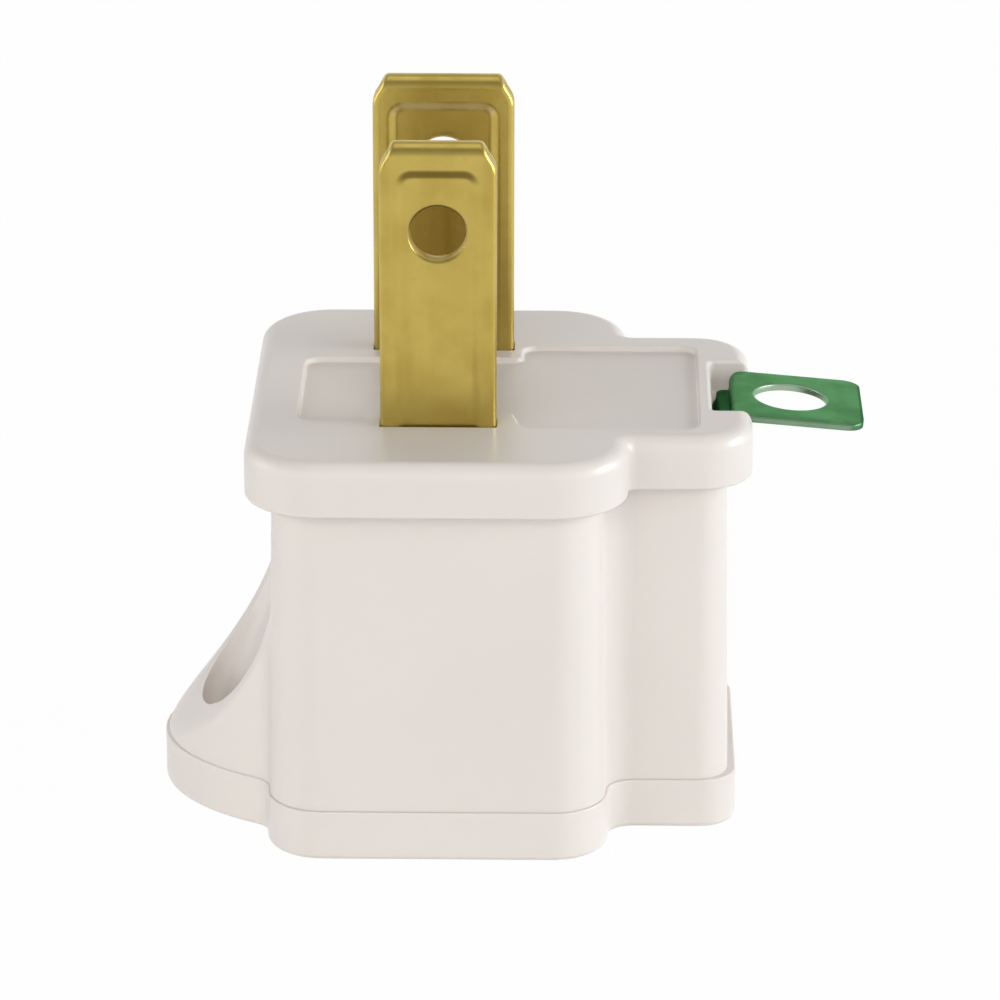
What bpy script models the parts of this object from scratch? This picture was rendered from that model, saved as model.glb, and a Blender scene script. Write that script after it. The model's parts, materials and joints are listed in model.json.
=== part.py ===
"""Grounding plug adapter.

A moulded housing with a flange and a finger grip stands on its receptacle face.
Two folded brass contacts rise out of it as flat blades, and open inside it into
leaves that grip the blades of a plug. A green lug strip leaves the flange through
a notch, and runs down a slot in the end wall to the clip for the earth pin.
A cover closes the housing from below, with its slots and its earth opening.

Frame: the origin is on the receptacle face, midway between the two blades.
+Z points to the blade tips and +X to the green lug.
"""

import math

import bmesh
import bpy
from mathutils import Matrix, Vector

MM = 0.001

# Heights, measured from the receptacle face
SEAM_HEIGHT = 2.9 * MM
BODY_HEIGHT = 23.7 * MM
FLANGE_THICKNESS = 3.1 * MM
TOP_WALL = 2.8 * MM

# Plan of the body at the seam: a wide part for the blades, a narrow end for the earth pin
BODY_LEFT = 9.37 * MM
BODY_STEP = 9.3 * MM
BODY_END = 16.17 * MM
SIDE_MARGIN = 5.8 * MM
END_HALF_DEPTH = 7.45 * MM
CORNER_RADIUS = 3.0 * MM
END_CORNER_RADIUS = 1.9 * MM
STEP_FILLET = 1.6 * MM
MIN_FILLET = 0.2 * MM
WALL_DRAFT = 0.3 * MM
BODY_WALL = 1.35 * MM

# Flange over the body
FLANGE_OVERHANG = 1.1 * MM
FLANGE_LEFT_OVERHANG = 0.05 * MM
FLANGE_EDGE_RADIUS = 0.85 * MM

# Label recess in the flange face: a left field, a right field and a neck between the blades.
# Its edges are measured in from the flange's rim, the notch and the blade planes.
RECESS_DEPTH = 0.3 * MM
RECESS_RADIUS = 0.9 * MM
RECESS_LEFT_RIM = 2.95 * MM
RECESS_NOTCH_RIM = 0.7 * MM
RECESS_FRONT_RIM = 1.4 * MM
RECESS_BACK_RIM = 2.1 * MM
RECESS_LEFT_FRONT_INSET = 0.2 * MM
RECESS_LEFT_BACK_INSET = 2.1 * MM
RECESS_NECK_MARGIN = 0.53 * MM

# Finger grip: an elliptical plan cut by a curved ramp and dished for a fingertip
GRIP_OVERHANG = 6.3 * MM
GRIP_LENGTH_RADIUS = 13.8 * MM
GRIP_WIDTH_RADIUS = 9.5 * MM
GRIP_TOP_HEIGHT = 13.3 * MM
GRIP_NOSE_HEIGHT = 3.1 * MM
GRIP_BEND_OVERHANG = 1.13 * MM
GRIP_BEND_HEIGHT = 6.0 * MM
GRIP_ROOT_FILLET = 1.7 * MM
ROOT_SINK = 0.03 * MM
DISH_NOSE_RIM = 2.0 * MM
DISH_ROOT = 0.1 * MM
DISH_HALF_WIDTH = 6.4 * MM
DISH_DEPTH = 3.6 * MM

# Cover
COVER_PROUD = 0.15 * MM
COVER_END_PROUD = 0.3 * MM
COVER_EDGE_RADIUS = 0.35 * MM
LIP_HEIGHT = 1.2 * MM
LIP_THICKNESS = 0.8 * MM

# Chambers inside the housing
CENTRE_RIB = 1.6 * MM
CROSS_RIB = 1.2 * MM
CHAMBER_RADIUS = 1.5 * MM

# Blades and their contacts, folded from one strip
BLADE_SPACING = 12.7 * MM
BLADE_LENGTH = 16.1 * MM
BLADE_THICKNESS = 1.5 * MM
HOT_WIDTH = 6.35 * MM
NEUTRAL_WIDTH = 7.94 * MM
STRIP_THICKNESS = 0.6 * MM
TIP_CHAMFER_WIDTH = 0.87 * MM
TIP_CHAMFER_HEIGHT = 1.35 * MM
PANEL_DEPTH = 0.12 * MM
PANEL_MARGIN = 0.95 * MM
PANEL_TOP_MARGIN = 1.85 * MM
PANEL_RADIUS = 0.5 * MM
BLADE_HOLE = 3.15 * MM
BLADE_HOLE_HEIGHT = 11.0 * MM
LEAF_HALF_GAP = 1.7 * MM
THROAT_HALF_GAP = 0.95 * MM
THROAT_HEIGHT = 6.8 * MM
MOUTH_HALF_GAP = 1.8 * MM
LEAF_SHOULDER = 2.3 * MM
LEAF_BEND_RADIUS = 0.9 * MM

# Receptacle openings
SLOT_WIDTH = 2.0 * MM
SLOT_EXTRA_LENGTH = 0.9 * MM
EARTH_OFFSET = 11.9 * MM
EARTH_PIN = 4.8 * MM
EARTH_OPENING = 5.3 * MM
SLOT_LEAD_IN = 0.35 * MM

# Green lug strip
LUG_OVERHANG = 7.33 * MM
LUG_WIDTH = 7.4 * MM
LUG_CORNER = 1.0 * MM
LUG_THICKNESS = 0.4 * MM
LUG_SLOPE = math.radians(5.0)
LUG_SINK = 0.35 * MM
LUG_HOLE = 4.1 * MM
LUG_HOLE_INSET = 4.0 * MM
NECK_WIDTH = 4.2 * MM
STEP_WIDTH = 6.2 * MM
LEG_DEPTH = 0.77 * MM
LEG_BEND_RADIUS = 0.4 * MM
STEP_DEPTH = 0.95 * MM
STEP_REACH = 0.95 * MM
STEP_BEND_RADIUS = 0.32 * MM
SLOT_SILL = 1.6 * MM
STUD_DIAMETER = 1.2 * MM
STUD_REACH = 0.7 * MM
STUD_TOP_MARGIN = 2.0 * MM
STUD_SPACING = 6.0 * MM

# Notch in the flange end
NOTCH_WIDTH = 8.1 * MM
NOTCH_DEPTH = 1.95 * MM

# Earth clip
CLIP_THICKNESS = 0.6 * MM
CLIP_LEAF_LENGTH = 4.6 * MM
CLIP_HEADROOM = 3.4 * MM
CLIP_THROAT_HEIGHT = 8.5 * MM
CLIP_THROAT_BOW = 0.2 * MM
CLIP_MOUTH_FLARE = 0.35 * MM
CLIP_BEND_RADIUS = 0.8 * MM

# Assembly
GAP = 0.3 * MM
OVERRUN = 1.0 * MM
ARC_STEPS = 8
FINE_ARC_STEPS = 4
GRIP_STEPS = 28
SOLVE_STEPS = 50
DISH_STEPS = 36
ROUND_STEPS = 32
FILLET_SHARE = 0.98
MERGE_DISTANCE = 0.001 * MM

FLANGE_BOTTOM = BODY_HEIGHT - FLANGE_THICKNESS
CEILING = BODY_HEIGHT - TOP_WALL
HOUSING_BOTTOM = SEAM_HEIGHT + GAP / 2
COVER_TOP = SEAM_HEIGHT - GAP / 2
BLADE_TIP = BODY_HEIGHT + BLADE_LENGTH
BLADE_Y = BLADE_SPACING / 2
BODY_HALF_DEPTH = BLADE_Y + SIDE_MARGIN
CHAMBER_LEFT = BODY_LEFT - BODY_WALL
CHAMBER_DEPTH = BODY_HALF_DEPTH - BODY_WALL
CHAMBER_STEP = BODY_STEP - BODY_WALL
EARTH_CHAMBER_LEFT = CHAMBER_STEP + CROSS_RIB
EARTH_CHAMBER_DEPTH = END_HALF_DEPTH - BODY_WALL
LEG_X = BODY_END - LEG_DEPTH
LEG_INNER_X = LEG_X - LUG_THICKNESS / 2
LEG_OUTER_X = LEG_X + LUG_THICKNESS / 2
NOTCH_WALL_X = LEG_INNER_X - GAP / 2
CLIP_WEB_X = LEG_INNER_X - GAP - CLIP_THICKNESS / 2
CLIP_TOP = CEILING - CLIP_HEADROOM
EARTH_CHAMBER_RIGHT = CLIP_WEB_X + CLIP_THICKNESS / 2 + GAP / 2
SLOT_HALF_WIDTH = NECK_WIDTH / 2 + GAP
LUG_TOP_AT_BEND = BODY_HEIGHT - LUG_SINK
LUG_REACH = BODY_END + LUG_OVERHANG
LUG_HOLE_X = LUG_REACH - LUG_HOLE_INSET
GRIP_REACH = BODY_LEFT + GRIP_OVERHANG
GRIP_CENTRE = GRIP_LENGTH_RADIUS - GRIP_REACH
DISH_NOSE = GRIP_REACH - DISH_NOSE_RIM
DISH_CENTRE = BODY_LEFT + DISH_ROOT
STUD_HEIGHTS = (CLIP_TOP - STUD_TOP_MARGIN - STUD_SPACING, CLIP_TOP - STUD_TOP_MARGIN)


def clear_scene():
    """Remove every object the file starts with."""
    for obj in list(bpy.data.objects):
        bpy.data.objects.remove(obj, do_unlink=True)


def collection(name):
    """Make a collection and link it to the scene."""
    group = bpy.data.collections.new(name)
    bpy.context.scene.collection.children.link(group)
    return group


def material(name, colour, roughness, metallic):
    """A Principled material with one colour."""
    mat = bpy.data.materials.new(name)
    mat.use_nodes = True
    shader = mat.node_tree.nodes["Principled BSDF"]
    shader.inputs["Base Color"].default_value = (*colour, 1.0)
    shader.inputs["Roughness"].default_value = roughness
    shader.inputs["Metallic"].default_value = metallic
    mat.diffuse_color = (*colour, 1.0)
    return mat


def arc(centre, radius, start, end, steps):
    """Points along an arc, both ends included."""
    angles = [start + (end - start) * i / steps for i in range(steps + 1)]
    return [(centre[0] + radius * math.cos(a), centre[1] + radius * math.sin(a)) for a in angles]


def tangent_length(before, corner, after, radius):
    """How far from a corner its rounding arc starts."""
    to_before = Vector(before) - Vector(corner)
    to_after = Vector(after) - Vector(corner)
    return radius / math.tan(to_before.angle(to_after) / 2)


def fillet(before, corner, after, radius, steps):
    """Points of the arc that rounds one corner of a path."""
    corner = Vector(corner)
    to_before = (Vector(before) - corner).normalized()
    to_after = (Vector(after) - corner).normalized()
    half = to_before.angle(to_after) / 2
    middle = corner + (to_before + to_after).normalized() * radius / math.sin(half)
    first = corner + to_before * radius / math.tan(half) - middle
    last = corner + to_after * radius / math.tan(half) - middle
    turn = first.angle_signed(last)
    points = []
    for i in range(steps + 1):
        points.append(tuple(middle + Matrix.Rotation(-turn * i / steps, 2) @ first))
    return points


def rounded(corners, steps=ARC_STEPS, closed=True):
    """A path through corners given as (x, y, radius), each rounded as far as its sides allow."""
    count = len(corners)
    points = [corner[:2] for corner in corners]
    tangents = []
    for i, (x, y, radius) in enumerate(corners):
        plain = radius <= 0 or (not closed and i in (0, count - 1))
        around = (points[i - 1], points[i], points[(i + 1) % count])
        tangents.append(0.0 if plain else tangent_length(*around, radius))
    path = []
    for i, (x, y, radius) in enumerate(corners):
        if tangents[i] == 0.0:
            path.append((x, y))
            continue
        share = 1.0
        for j in (i - 1, (i + 1) % count):
            side = (Vector(points[j]) - Vector(points[i])).length
            share = min(share, FILLET_SHARE * side / (tangents[i] + tangents[j]))
        path.extend(fillet(points[i - 1], points[i], points[(i + 1) % count], radius * share, steps))
    return path


def rectangle(x0, x1, y0, y1, radius):
    """Corners of a rectangle with rounded corners."""
    return [(x0, y0, radius), (x1, y0, radius), (x1, y1, radius), (x0, y1, radius)]


def grip_points(wall_x, grow=0.0):
    """The grip's outline from the wall behind it, round the nose, to the wall in front.

    At both roots a fillet touches the wall and the ellipse. Its angle on the ellipse is found
    by halving, as the place where the ellipse offset by the fillet's radius is that far from the wall.
    """
    length = GRIP_LENGTH_RADIUS + grow
    width = GRIP_WIDTH_RADIUS + grow
    radius = GRIP_ROOT_FILLET - grow
    early, late = math.pi / 2, math.pi
    for _ in range(SOLVE_STEPS):
        root = (early + late) / 2
        normal = Vector((width * math.cos(root), length * math.sin(root))).normalized()
        middle = Vector((GRIP_CENTRE + length * math.cos(root), width * math.sin(root))) + normal * radius
        if middle.x > wall_x - radius:
            early = root
        else:
            late = root
    turn = math.atan2(-normal.y, -normal.x)
    back = arc(middle, radius, 0.0, turn, FINE_ARC_STEPS)
    points = list(back)
    for i in range(1, GRIP_STEPS):
        angle = root + (2 * math.pi - 2 * root) * i / GRIP_STEPS
        points.append((GRIP_CENTRE + length * math.cos(angle), width * math.sin(angle)))
    return points + [(x, -y) for x, y in reversed(back)]


def body_corners(grow, left=0.0, end=0.0, grip=False):
    """Corners of the T-shaped plan, grown outwards, with or without the finger grip."""
    x0 = -(BODY_LEFT + grow + left)
    step = BODY_STEP + grow
    x1 = BODY_END + grow + end
    deep = BODY_HALF_DEPTH + grow
    narrow = END_HALF_DEPTH + grow
    main = CORNER_RADIUS + grow
    tail = END_CORNER_RADIUS + grow
    inner = max(STEP_FILLET - grow, MIN_FILLET)
    corners = [(x0, -deep, main), (step, -deep, main), (step, -narrow, inner)]
    corners += [(x1, -narrow, tail), (x1, narrow, tail)]
    corners += [(step, narrow, inner), (step, deep, main), (x0, deep, main)]
    if grip:
        corners += [(x, y, 0.0) for x, y in grip_points(x0, grow)]
    return corners


def curve_mesh(name, path, half_depth, closed, matrix):
    """The mesh of a flat outline or an open path, extruded along its own z."""
    curve = bpy.data.curves.new(name, "CURVE")
    curve.dimensions = "2D"
    curve.fill_mode = "BOTH" if closed else "NONE"
    curve.extrude = half_depth
    spline = curve.splines.new("POLY")
    spline.points.add(len(path) - 1)
    for point, (x, y) in zip(spline.points, path):
        point.co = (x, y, 0.0, 1.0)
    spline.use_cyclic_u = closed
    guide = bpy.data.objects.new(name, curve)
    bpy.context.scene.collection.objects.link(guide)
    depsgraph = bpy.context.evaluated_depsgraph_get()
    mesh = bpy.data.meshes.new_from_object(guide.evaluated_get(depsgraph))
    bpy.data.objects.remove(guide, do_unlink=True)
    bm = bmesh.new()
    bm.from_mesh(mesh)
    bmesh.ops.remove_doubles(bm, verts=bm.verts, dist=MERGE_DISTANCE)
    bm.transform(matrix)
    if closed:
        bmesh.ops.recalc_face_normals(bm, faces=bm.faces)
    bm.to_mesh(mesh)
    bm.free()
    mesh.name = name
    return mesh


def prism(name, path, low, high):
    """An upright solid with the outline given, from height low to height high."""
    middle = Matrix.Translation((0, 0, (low + high) / 2))
    return bpy.data.objects.new(name, curve_mesh(name, path, (high - low) / 2, True, middle))


def side_prism(name, path, low_y, high_y):
    """A solid with an outline in XZ, from low_y to high_y."""
    turn = Matrix.Translation((0, (low_y + high_y) / 2, 0)) @ Matrix.Rotation(math.pi / 2, 4, "X")
    return bpy.data.objects.new(name, curve_mesh(name, path, (high_y - low_y) / 2, True, turn))


def cylinder(name, radius, length, matrix):
    """A cylinder along its own z, placed by a matrix."""
    bm = bmesh.new()
    bmesh.ops.create_cone(bm, cap_ends=True, segments=ROUND_STEPS, radius1=radius,
                          radius2=radius, depth=length, matrix=matrix)
    mesh = bpy.data.meshes.new(name)
    bm.to_mesh(mesh)
    bm.free()
    return bpy.data.objects.new(name, mesh)


def box(name, low, high):
    """A box between two corners."""
    low = Vector(low)
    high = Vector(high)
    place = Matrix.Translation((low + high) / 2) @ Matrix.Diagonal((*(high - low), 1.0))
    bm = bmesh.new()
    bmesh.ops.create_cube(bm, size=1.0, matrix=place)
    mesh = bpy.data.meshes.new(name)
    bm.to_mesh(mesh)
    bm.free()
    return bpy.data.objects.new(name, mesh)


def loft(name, rings):
    """A closed solid through level outlines, given as (path, height) with as many points each."""
    bm = bmesh.new()
    levels = [[bm.verts.new((x, y, z)) for x, y in path] for path, z in rings]
    count = len(levels[0])
    for lower, upper in zip(levels, levels[1:]):
        for i in range(count):
            j = (i + 1) % count
            bm.faces.new((lower[i], lower[j], upper[j], upper[i]))
    bm.faces.new(levels[0])
    bm.faces.new(levels[-1])
    bmesh.ops.recalc_face_normals(bm, faces=bm.faces)
    mesh = bpy.data.meshes.new(name)
    bm.to_mesh(mesh)
    bm.free()
    return bpy.data.objects.new(name, mesh)


def rim_rings(outline, end, other, radius):
    """Rings of an upright solid whose outline is rounded off at one end."""
    way = math.copysign(1.0, other - end)
    rings = []
    for i in range(FINE_ARC_STEPS + 1):
        angle = math.pi / 2 * i / FINE_ARC_STEPS
        level = end + way * radius * (1 - math.cos(angle))
        rings.append((outline(-radius * (1 - math.sin(angle))), level))
    rings.append((outline(0.0), other))
    return rings


def flange_outline(grow):
    """Outline of the flange, grown outwards."""
    return rounded(body_corners(FLANGE_OVERHANG + grow, left=FLANGE_LEFT_OVERHANG))


def cover_outline(grow):
    """Outline of the cover, with the finger grip, grown outwards."""
    return rounded(body_corners(COVER_PROUD + grow, end=COVER_END_PROUD, grip=True))


class Assembly:
    """The adapter's pieces and the cutters that shape them."""

    def __init__(self):
        self.pieces = collection("grounding_plug_adapter")
        self.cutters = collection("cutters")
        self.plastic = material("white_plastic", (0.76, 0.73, 0.69), 0.32, 0.0)
        self.brass = material("brass", (0.72, 0.55, 0.17), 0.28, 1.0)
        self.green = material("green_strip", (0.08, 0.30, 0.11), 0.35, 0.6)

    def piece(self, obj, mat):
        """Add a sub-part with its material."""
        obj.data.materials.clear()
        obj.data.materials.append(mat)
        self.pieces.objects.link(obj)
        return obj

    def combine(self, target, tool, operation):
        """Join, cut or intersect a piece with a tool that stays out of the render."""
        tool.hide_render = True
        tool.display_type = "WIRE"
        self.cutters.objects.link(tool)
        step = target.modifiers.new(operation.lower() + "_" + tool.name, "BOOLEAN")
        step.operation = operation
        step.object = tool
        step.solver = "EXACT"

    def cut(self, target, tool):
        """Cut a tool's shape out of a piece."""
        self.combine(target, tool, "DIFFERENCE")

    def join(self, target, tool):
        """Join a tool's shape to a piece."""
        self.combine(target, tool, "UNION")

    def keep(self, target, tool):
        """Keep only what lies inside a tool's shape."""
        self.combine(target, tool, "INTERSECT")

    def smooth(self, obj, angle=35.0):
        """Shade a round piece smooth, with its edges sharp."""
        obj.data.shade_smooth()
        obj.data.set_sharp_from_angle(angle=math.radians(angle))


def wall_x(height):
    """Where the drafted left wall stands at a height, a little inside its face."""
    share = (height - HOUSING_BOTTOM + OVERRUN) / (FLANGE_BOTTOM - HOUSING_BOTTOM + 2 * OVERRUN)
    return -(BODY_LEFT - WALL_DRAFT * share - ROOT_SINK)


def ramp_height(x):
    """Height of the grip's ramp at x, along a quadratic curve from the body wall to the nose."""
    start = wall_x(GRIP_TOP_HEIGHT)
    if x > start:
        return GRIP_TOP_HEIGHT
    bend = -(BODY_LEFT + GRIP_BEND_OVERHANG)
    end = -(GRIP_REACH + OVERRUN)
    square = start - 2 * bend + end
    linear = 2 * (bend - start)
    root = math.sqrt(linear * linear - 4 * square * (start - x))
    t = -(linear + root) / (2 * square)
    heights = (GRIP_TOP_HEIGHT, GRIP_BEND_HEIGHT, GRIP_NOSE_HEIGHT)
    return (1 - t) ** 2 * heights[0] + 2 * t * (1 - t) * heights[1] + t * t * heights[2]


def make_grip():
    """The solid finger grip: roots that follow the drafted wall, and a ramp as high as its curve."""
    inside = -(CHAMBER_LEFT + GAP)
    low = HOUSING_BOTTOM - OVERRUN
    levels = []
    for height in (low, GRIP_TOP_HEIGHT):
        outline = grip_points(wall_x(height))
        levels.append([(inside, outline[0][1])] + outline + [(inside, outline[-1][1])])
    bm = bmesh.new()
    lower = [bm.verts.new((x, y, low)) for x, y in levels[0]]
    upper = [bm.verts.new((x, y, ramp_height(x))) for x, y in levels[1]]
    count = len(lower)
    for i in range(count):
        j = (i + 1) % count
        bm.faces.new((lower[i], lower[j], upper[j], upper[i]))
    nose = count // 2
    for i in range(nose):
        strip = (upper[i], upper[i + 1], upper[count - 2 - i], upper[count - 1 - i])
        bm.faces.new(strip[:2] + strip[3:] if i + 1 == nose else strip)
    bm.faces.new(lower)
    bmesh.ops.recalc_face_normals(bm, faces=bm.faces)
    mesh = bpy.data.meshes.new("grip")
    bm.to_mesh(mesh)
    bm.free()
    return bpy.data.objects.new("grip", mesh)


def make_dish():
    """An ellipsoid that leans with the ramp, for the fingertip."""
    slope_high = ramp_height(-DISH_CENTRE)
    slope_low = ramp_height(-DISH_NOSE)
    slope = (slope_high - slope_low) / (DISH_NOSE - DISH_CENTRE)
    bm = bmesh.new()
    bmesh.ops.create_uvsphere(bm, u_segments=DISH_STEPS, v_segments=DISH_STEPS // 2, radius=1.0)
    lean = Matrix.Identity(4)
    lean[2][0] = slope
    size = Matrix.Diagonal((DISH_NOSE - DISH_CENTRE, DISH_HALF_WIDTH, DISH_DEPTH, 1.0))
    place = Matrix.Translation((-DISH_CENTRE, 0, slope_high))
    bm.transform(place @ lean @ size)
    mesh = bpy.data.meshes.new("dish")
    bm.to_mesh(mesh)
    bm.free()
    return bpy.data.objects.new("dish", mesh)


def recess_corners():
    """Outline of the label recess, with its neck between the blades."""
    left = -(BODY_LEFT + FLANGE_OVERHANG + FLANGE_LEFT_OVERHANG - RECESS_LEFT_RIM)
    right = NOTCH_WALL_X - RECESS_NOTCH_RIM
    rim = END_HALF_DEPTH + FLANGE_OVERHANG
    front = -(rim - RECESS_FRONT_RIM)
    back = rim - RECESS_BACK_RIM
    left_front = -(BLADE_Y - RECESS_LEFT_FRONT_INSET)
    left_back = BLADE_Y - RECESS_LEFT_BACK_INSET
    neck_front = -(BLADE_Y - BLADE_THICKNESS / 2 - RECESS_RADIUS)
    join_x = -(HOT_WIDTH / 2 + 2 * GAP)
    neck_end = NEUTRAL_WIDTH / 2 + RECESS_NECK_MARGIN
    inner = RECESS_RADIUS / 2
    corners = [(left, left_front, RECESS_RADIUS), (join_x - inner, left_front, inner)]
    corners += [(join_x, neck_front, inner), (neck_end - inner, neck_front, inner)]
    corners += [(neck_end, front, RECESS_RADIUS), (right, front, RECESS_RADIUS)]
    corners += [(right, back, RECESS_RADIUS), (neck_end, back, RECESS_RADIUS)]
    corners += [(neck_end, left_back, inner), (left, left_back, RECESS_RADIUS)]
    return corners


def build_housing(kit):
    """Drafted walls, flange and finger grip, hollow from below."""
    lower = rounded(body_corners(0.0))
    upper = rounded(body_corners(-WALL_DRAFT))
    low = HOUSING_BOTTOM - OVERRUN
    housing = loft("housing", [(lower, low), (upper, FLANGE_BOTTOM + OVERRUN)])
    kit.piece(housing, kit.plastic)

    flange_rings = rim_rings(flange_outline, BODY_HEIGHT, FLANGE_BOTTOM, FLANGE_EDGE_RADIUS)
    kit.join(housing, loft("flange", flange_rings))

    grip = make_grip()
    kit.cut(grip, make_dish())
    kit.join(housing, grip)
    reach = 2 * GRIP_REACH
    kit.cut(housing, box("seam_trim", (-reach, -reach, low - OVERRUN), (reach, reach, HOUSING_BOTTOM)))

    recess = rounded(recess_corners(), FINE_ARC_STEPS)
    kit.cut(housing, prism("label_recess", recess, BODY_HEIGHT - RECESS_DEPTH, BODY_HEIGHT + OVERRUN))

    for name, side in (("hot_chamber", -1), ("neutral_chamber", 1)):
        near = side * CENTRE_RIB / 2
        far = side * CHAMBER_DEPTH
        plan = rectangle(-CHAMBER_LEFT, CHAMBER_STEP, min(near, far), max(near, far), CHAMBER_RADIUS)
        kit.cut(housing, prism(name, rounded(plan, FINE_ARC_STEPS), low, CEILING))
    plan = rectangle(EARTH_CHAMBER_LEFT, EARTH_CHAMBER_RIGHT, -EARTH_CHAMBER_DEPTH,
                     EARTH_CHAMBER_DEPTH, CHAMBER_RADIUS)
    kit.cut(housing, prism("earth_chamber", rounded(plan, FINE_ARC_STEPS), low, CEILING))

    for name, side, width in (("hot_slot", -1, HOT_WIDTH), ("neutral_slot", 1, NEUTRAL_WIDTH)):
        half_x = width / 2 + GAP
        half_y = BLADE_THICKNESS / 2 + GAP
        middle = side * BLADE_Y
        kit.cut(housing, box(name, (-half_x, middle - half_y, CEILING - OVERRUN),
                             (half_x, middle + half_y, BODY_HEIGHT + OVERRUN)))

    outside = BODY_END + FLANGE_OVERHANG + OVERRUN
    notch = rectangle(NOTCH_WALL_X, outside, -NOTCH_WIDTH / 2, NOTCH_WIDTH / 2, RECESS_DEPTH)
    kit.cut(housing, prism("notch", rounded(notch, FINE_ARC_STEPS), BODY_HEIGHT - NOTCH_DEPTH,
                           BODY_HEIGHT + OVERRUN))
    slot_left = EARTH_CHAMBER_RIGHT - OVERRUN
    mouth_left = LEG_INNER_X - GAP
    mouth_top = BODY_HEIGHT - NOTCH_DEPTH + GAP / 2
    sill_x = LEG_OUTER_X + GAP / 2
    sill_top = HOUSING_BOTTOM + SLOT_SILL
    side = [(slot_left, low), (sill_x, low), (sill_x, sill_top), (outside, sill_top)]
    side += [(outside, mouth_top), (mouth_left, mouth_top)]
    side += [(mouth_left, CEILING - GAP), (slot_left, CEILING - GAP)]
    kit.cut(housing, side_prism("strip_slot", side, -SLOT_HALF_WIDTH, SLOT_HALF_WIDTH))
    return housing


def earth_outline(grow):
    """U-shaped outline of the earth opening, grown outwards; its flat side faces the slots."""
    radius = EARTH_OPENING / 2 + grow
    flat_x = EARTH_OFFSET - radius
    outline = [(flat_x, radius), (flat_x, -radius)]
    return outline + arc((EARTH_OFFSET, 0.0), radius, -math.pi / 2, math.pi / 2, 2 * ARC_STEPS)


def build_cover(kit):
    """Face plate with blade slots, earth opening and locating lips."""
    cover = loft("receptacle_cover", rim_rings(cover_outline, 0.0, COVER_TOP, COVER_EDGE_RADIUS))
    kit.piece(cover, kit.plastic)

    for name, side_sign in (("hot_lip", -1), ("neutral_lip", 1)):
        near = side_sign * (CENTRE_RIB / 2 + GAP)
        far = side_sign * (CHAMBER_DEPTH - GAP)
        outer = rectangle(-CHAMBER_LEFT + GAP, CHAMBER_STEP - GAP, min(near, far), max(near, far),
                          CHAMBER_RADIUS - GAP)
        inner = rectangle(-CHAMBER_LEFT + GAP + LIP_THICKNESS, CHAMBER_STEP - GAP - LIP_THICKNESS,
                          min(near, far) + LIP_THICKNESS, max(near, far) - LIP_THICKNESS,
                          (CHAMBER_RADIUS - GAP) / 2)
        lip = prism(name, rounded(outer, FINE_ARC_STEPS), COVER_TOP / 2, COVER_TOP + LIP_HEIGHT)
        core = prism(name + "_core", rounded(inner, FINE_ARC_STEPS), COVER_TOP,
                     COVER_TOP + LIP_HEIGHT + OVERRUN)
        kit.join(cover, lip)
        kit.cut(cover, core)

    for name, side_sign, width in (("hot_opening", -1, HOT_WIDTH), ("neutral_opening", 1, NEUTRAL_WIDTH)):
        half = (width + SLOT_EXTRA_LENGTH) / 2
        middle = side_sign * BLADE_Y
        low = (-half, middle - SLOT_WIDTH / 2, -OVERRUN)
        high = (half, middle + SLOT_WIDTH / 2, COVER_TOP + OVERRUN)
        kit.cut(cover, box(name, low, high))
        funnels = []
        for grow in (2 * SLOT_LEAD_IN, 0.0):
            half_y = SLOT_WIDTH / 2 + grow
            corners = rectangle(-half - grow, half + grow, middle - half_y, middle + half_y, 0.0)
            funnels.append(rounded(corners))
        levels = (-SLOT_LEAD_IN, SLOT_LEAD_IN)
        kit.cut(cover, loft(name + "_lead_in", list(zip(funnels, levels))))

    kit.cut(cover, prism("earth_opening", earth_outline(0.0), -OVERRUN, COVER_TOP + OVERRUN))
    funnel = [(earth_outline(2 * SLOT_LEAD_IN), -SLOT_LEAD_IN), (earth_outline(0.0), SLOT_LEAD_IN)]
    kit.cut(cover, loft("earth_lead_in", funnel))
    return cover


def strip_path(bottom):
    """Half of a folded contact seen from its edge: (offset from the blade plane, height)."""
    fold = (BLADE_THICKNESS - STRIP_THICKNESS) / 2
    spread = CEILING - LEAF_SHOULDER
    closed = CEILING - LEAF_BEND_RADIUS
    half = [(MOUTH_HALF_GAP, bottom, 0.0), (THROAT_HALF_GAP, THROAT_HEIGHT, LEAF_BEND_RADIUS * 2)]
    half += [(LEAF_HALF_GAP, (THROAT_HEIGHT + spread) / 2, LEAF_BEND_RADIUS * 2)]
    half += [(LEAF_HALF_GAP, spread, LEAF_BEND_RADIUS / 3)]
    half += [(fold, closed, LEAF_BEND_RADIUS / 3)]
    half += [(fold, BLADE_TIP - BLADE_THICKNESS / 2, 0.0)]
    return rounded(half, FINE_ARC_STEPS, closed=False)


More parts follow.
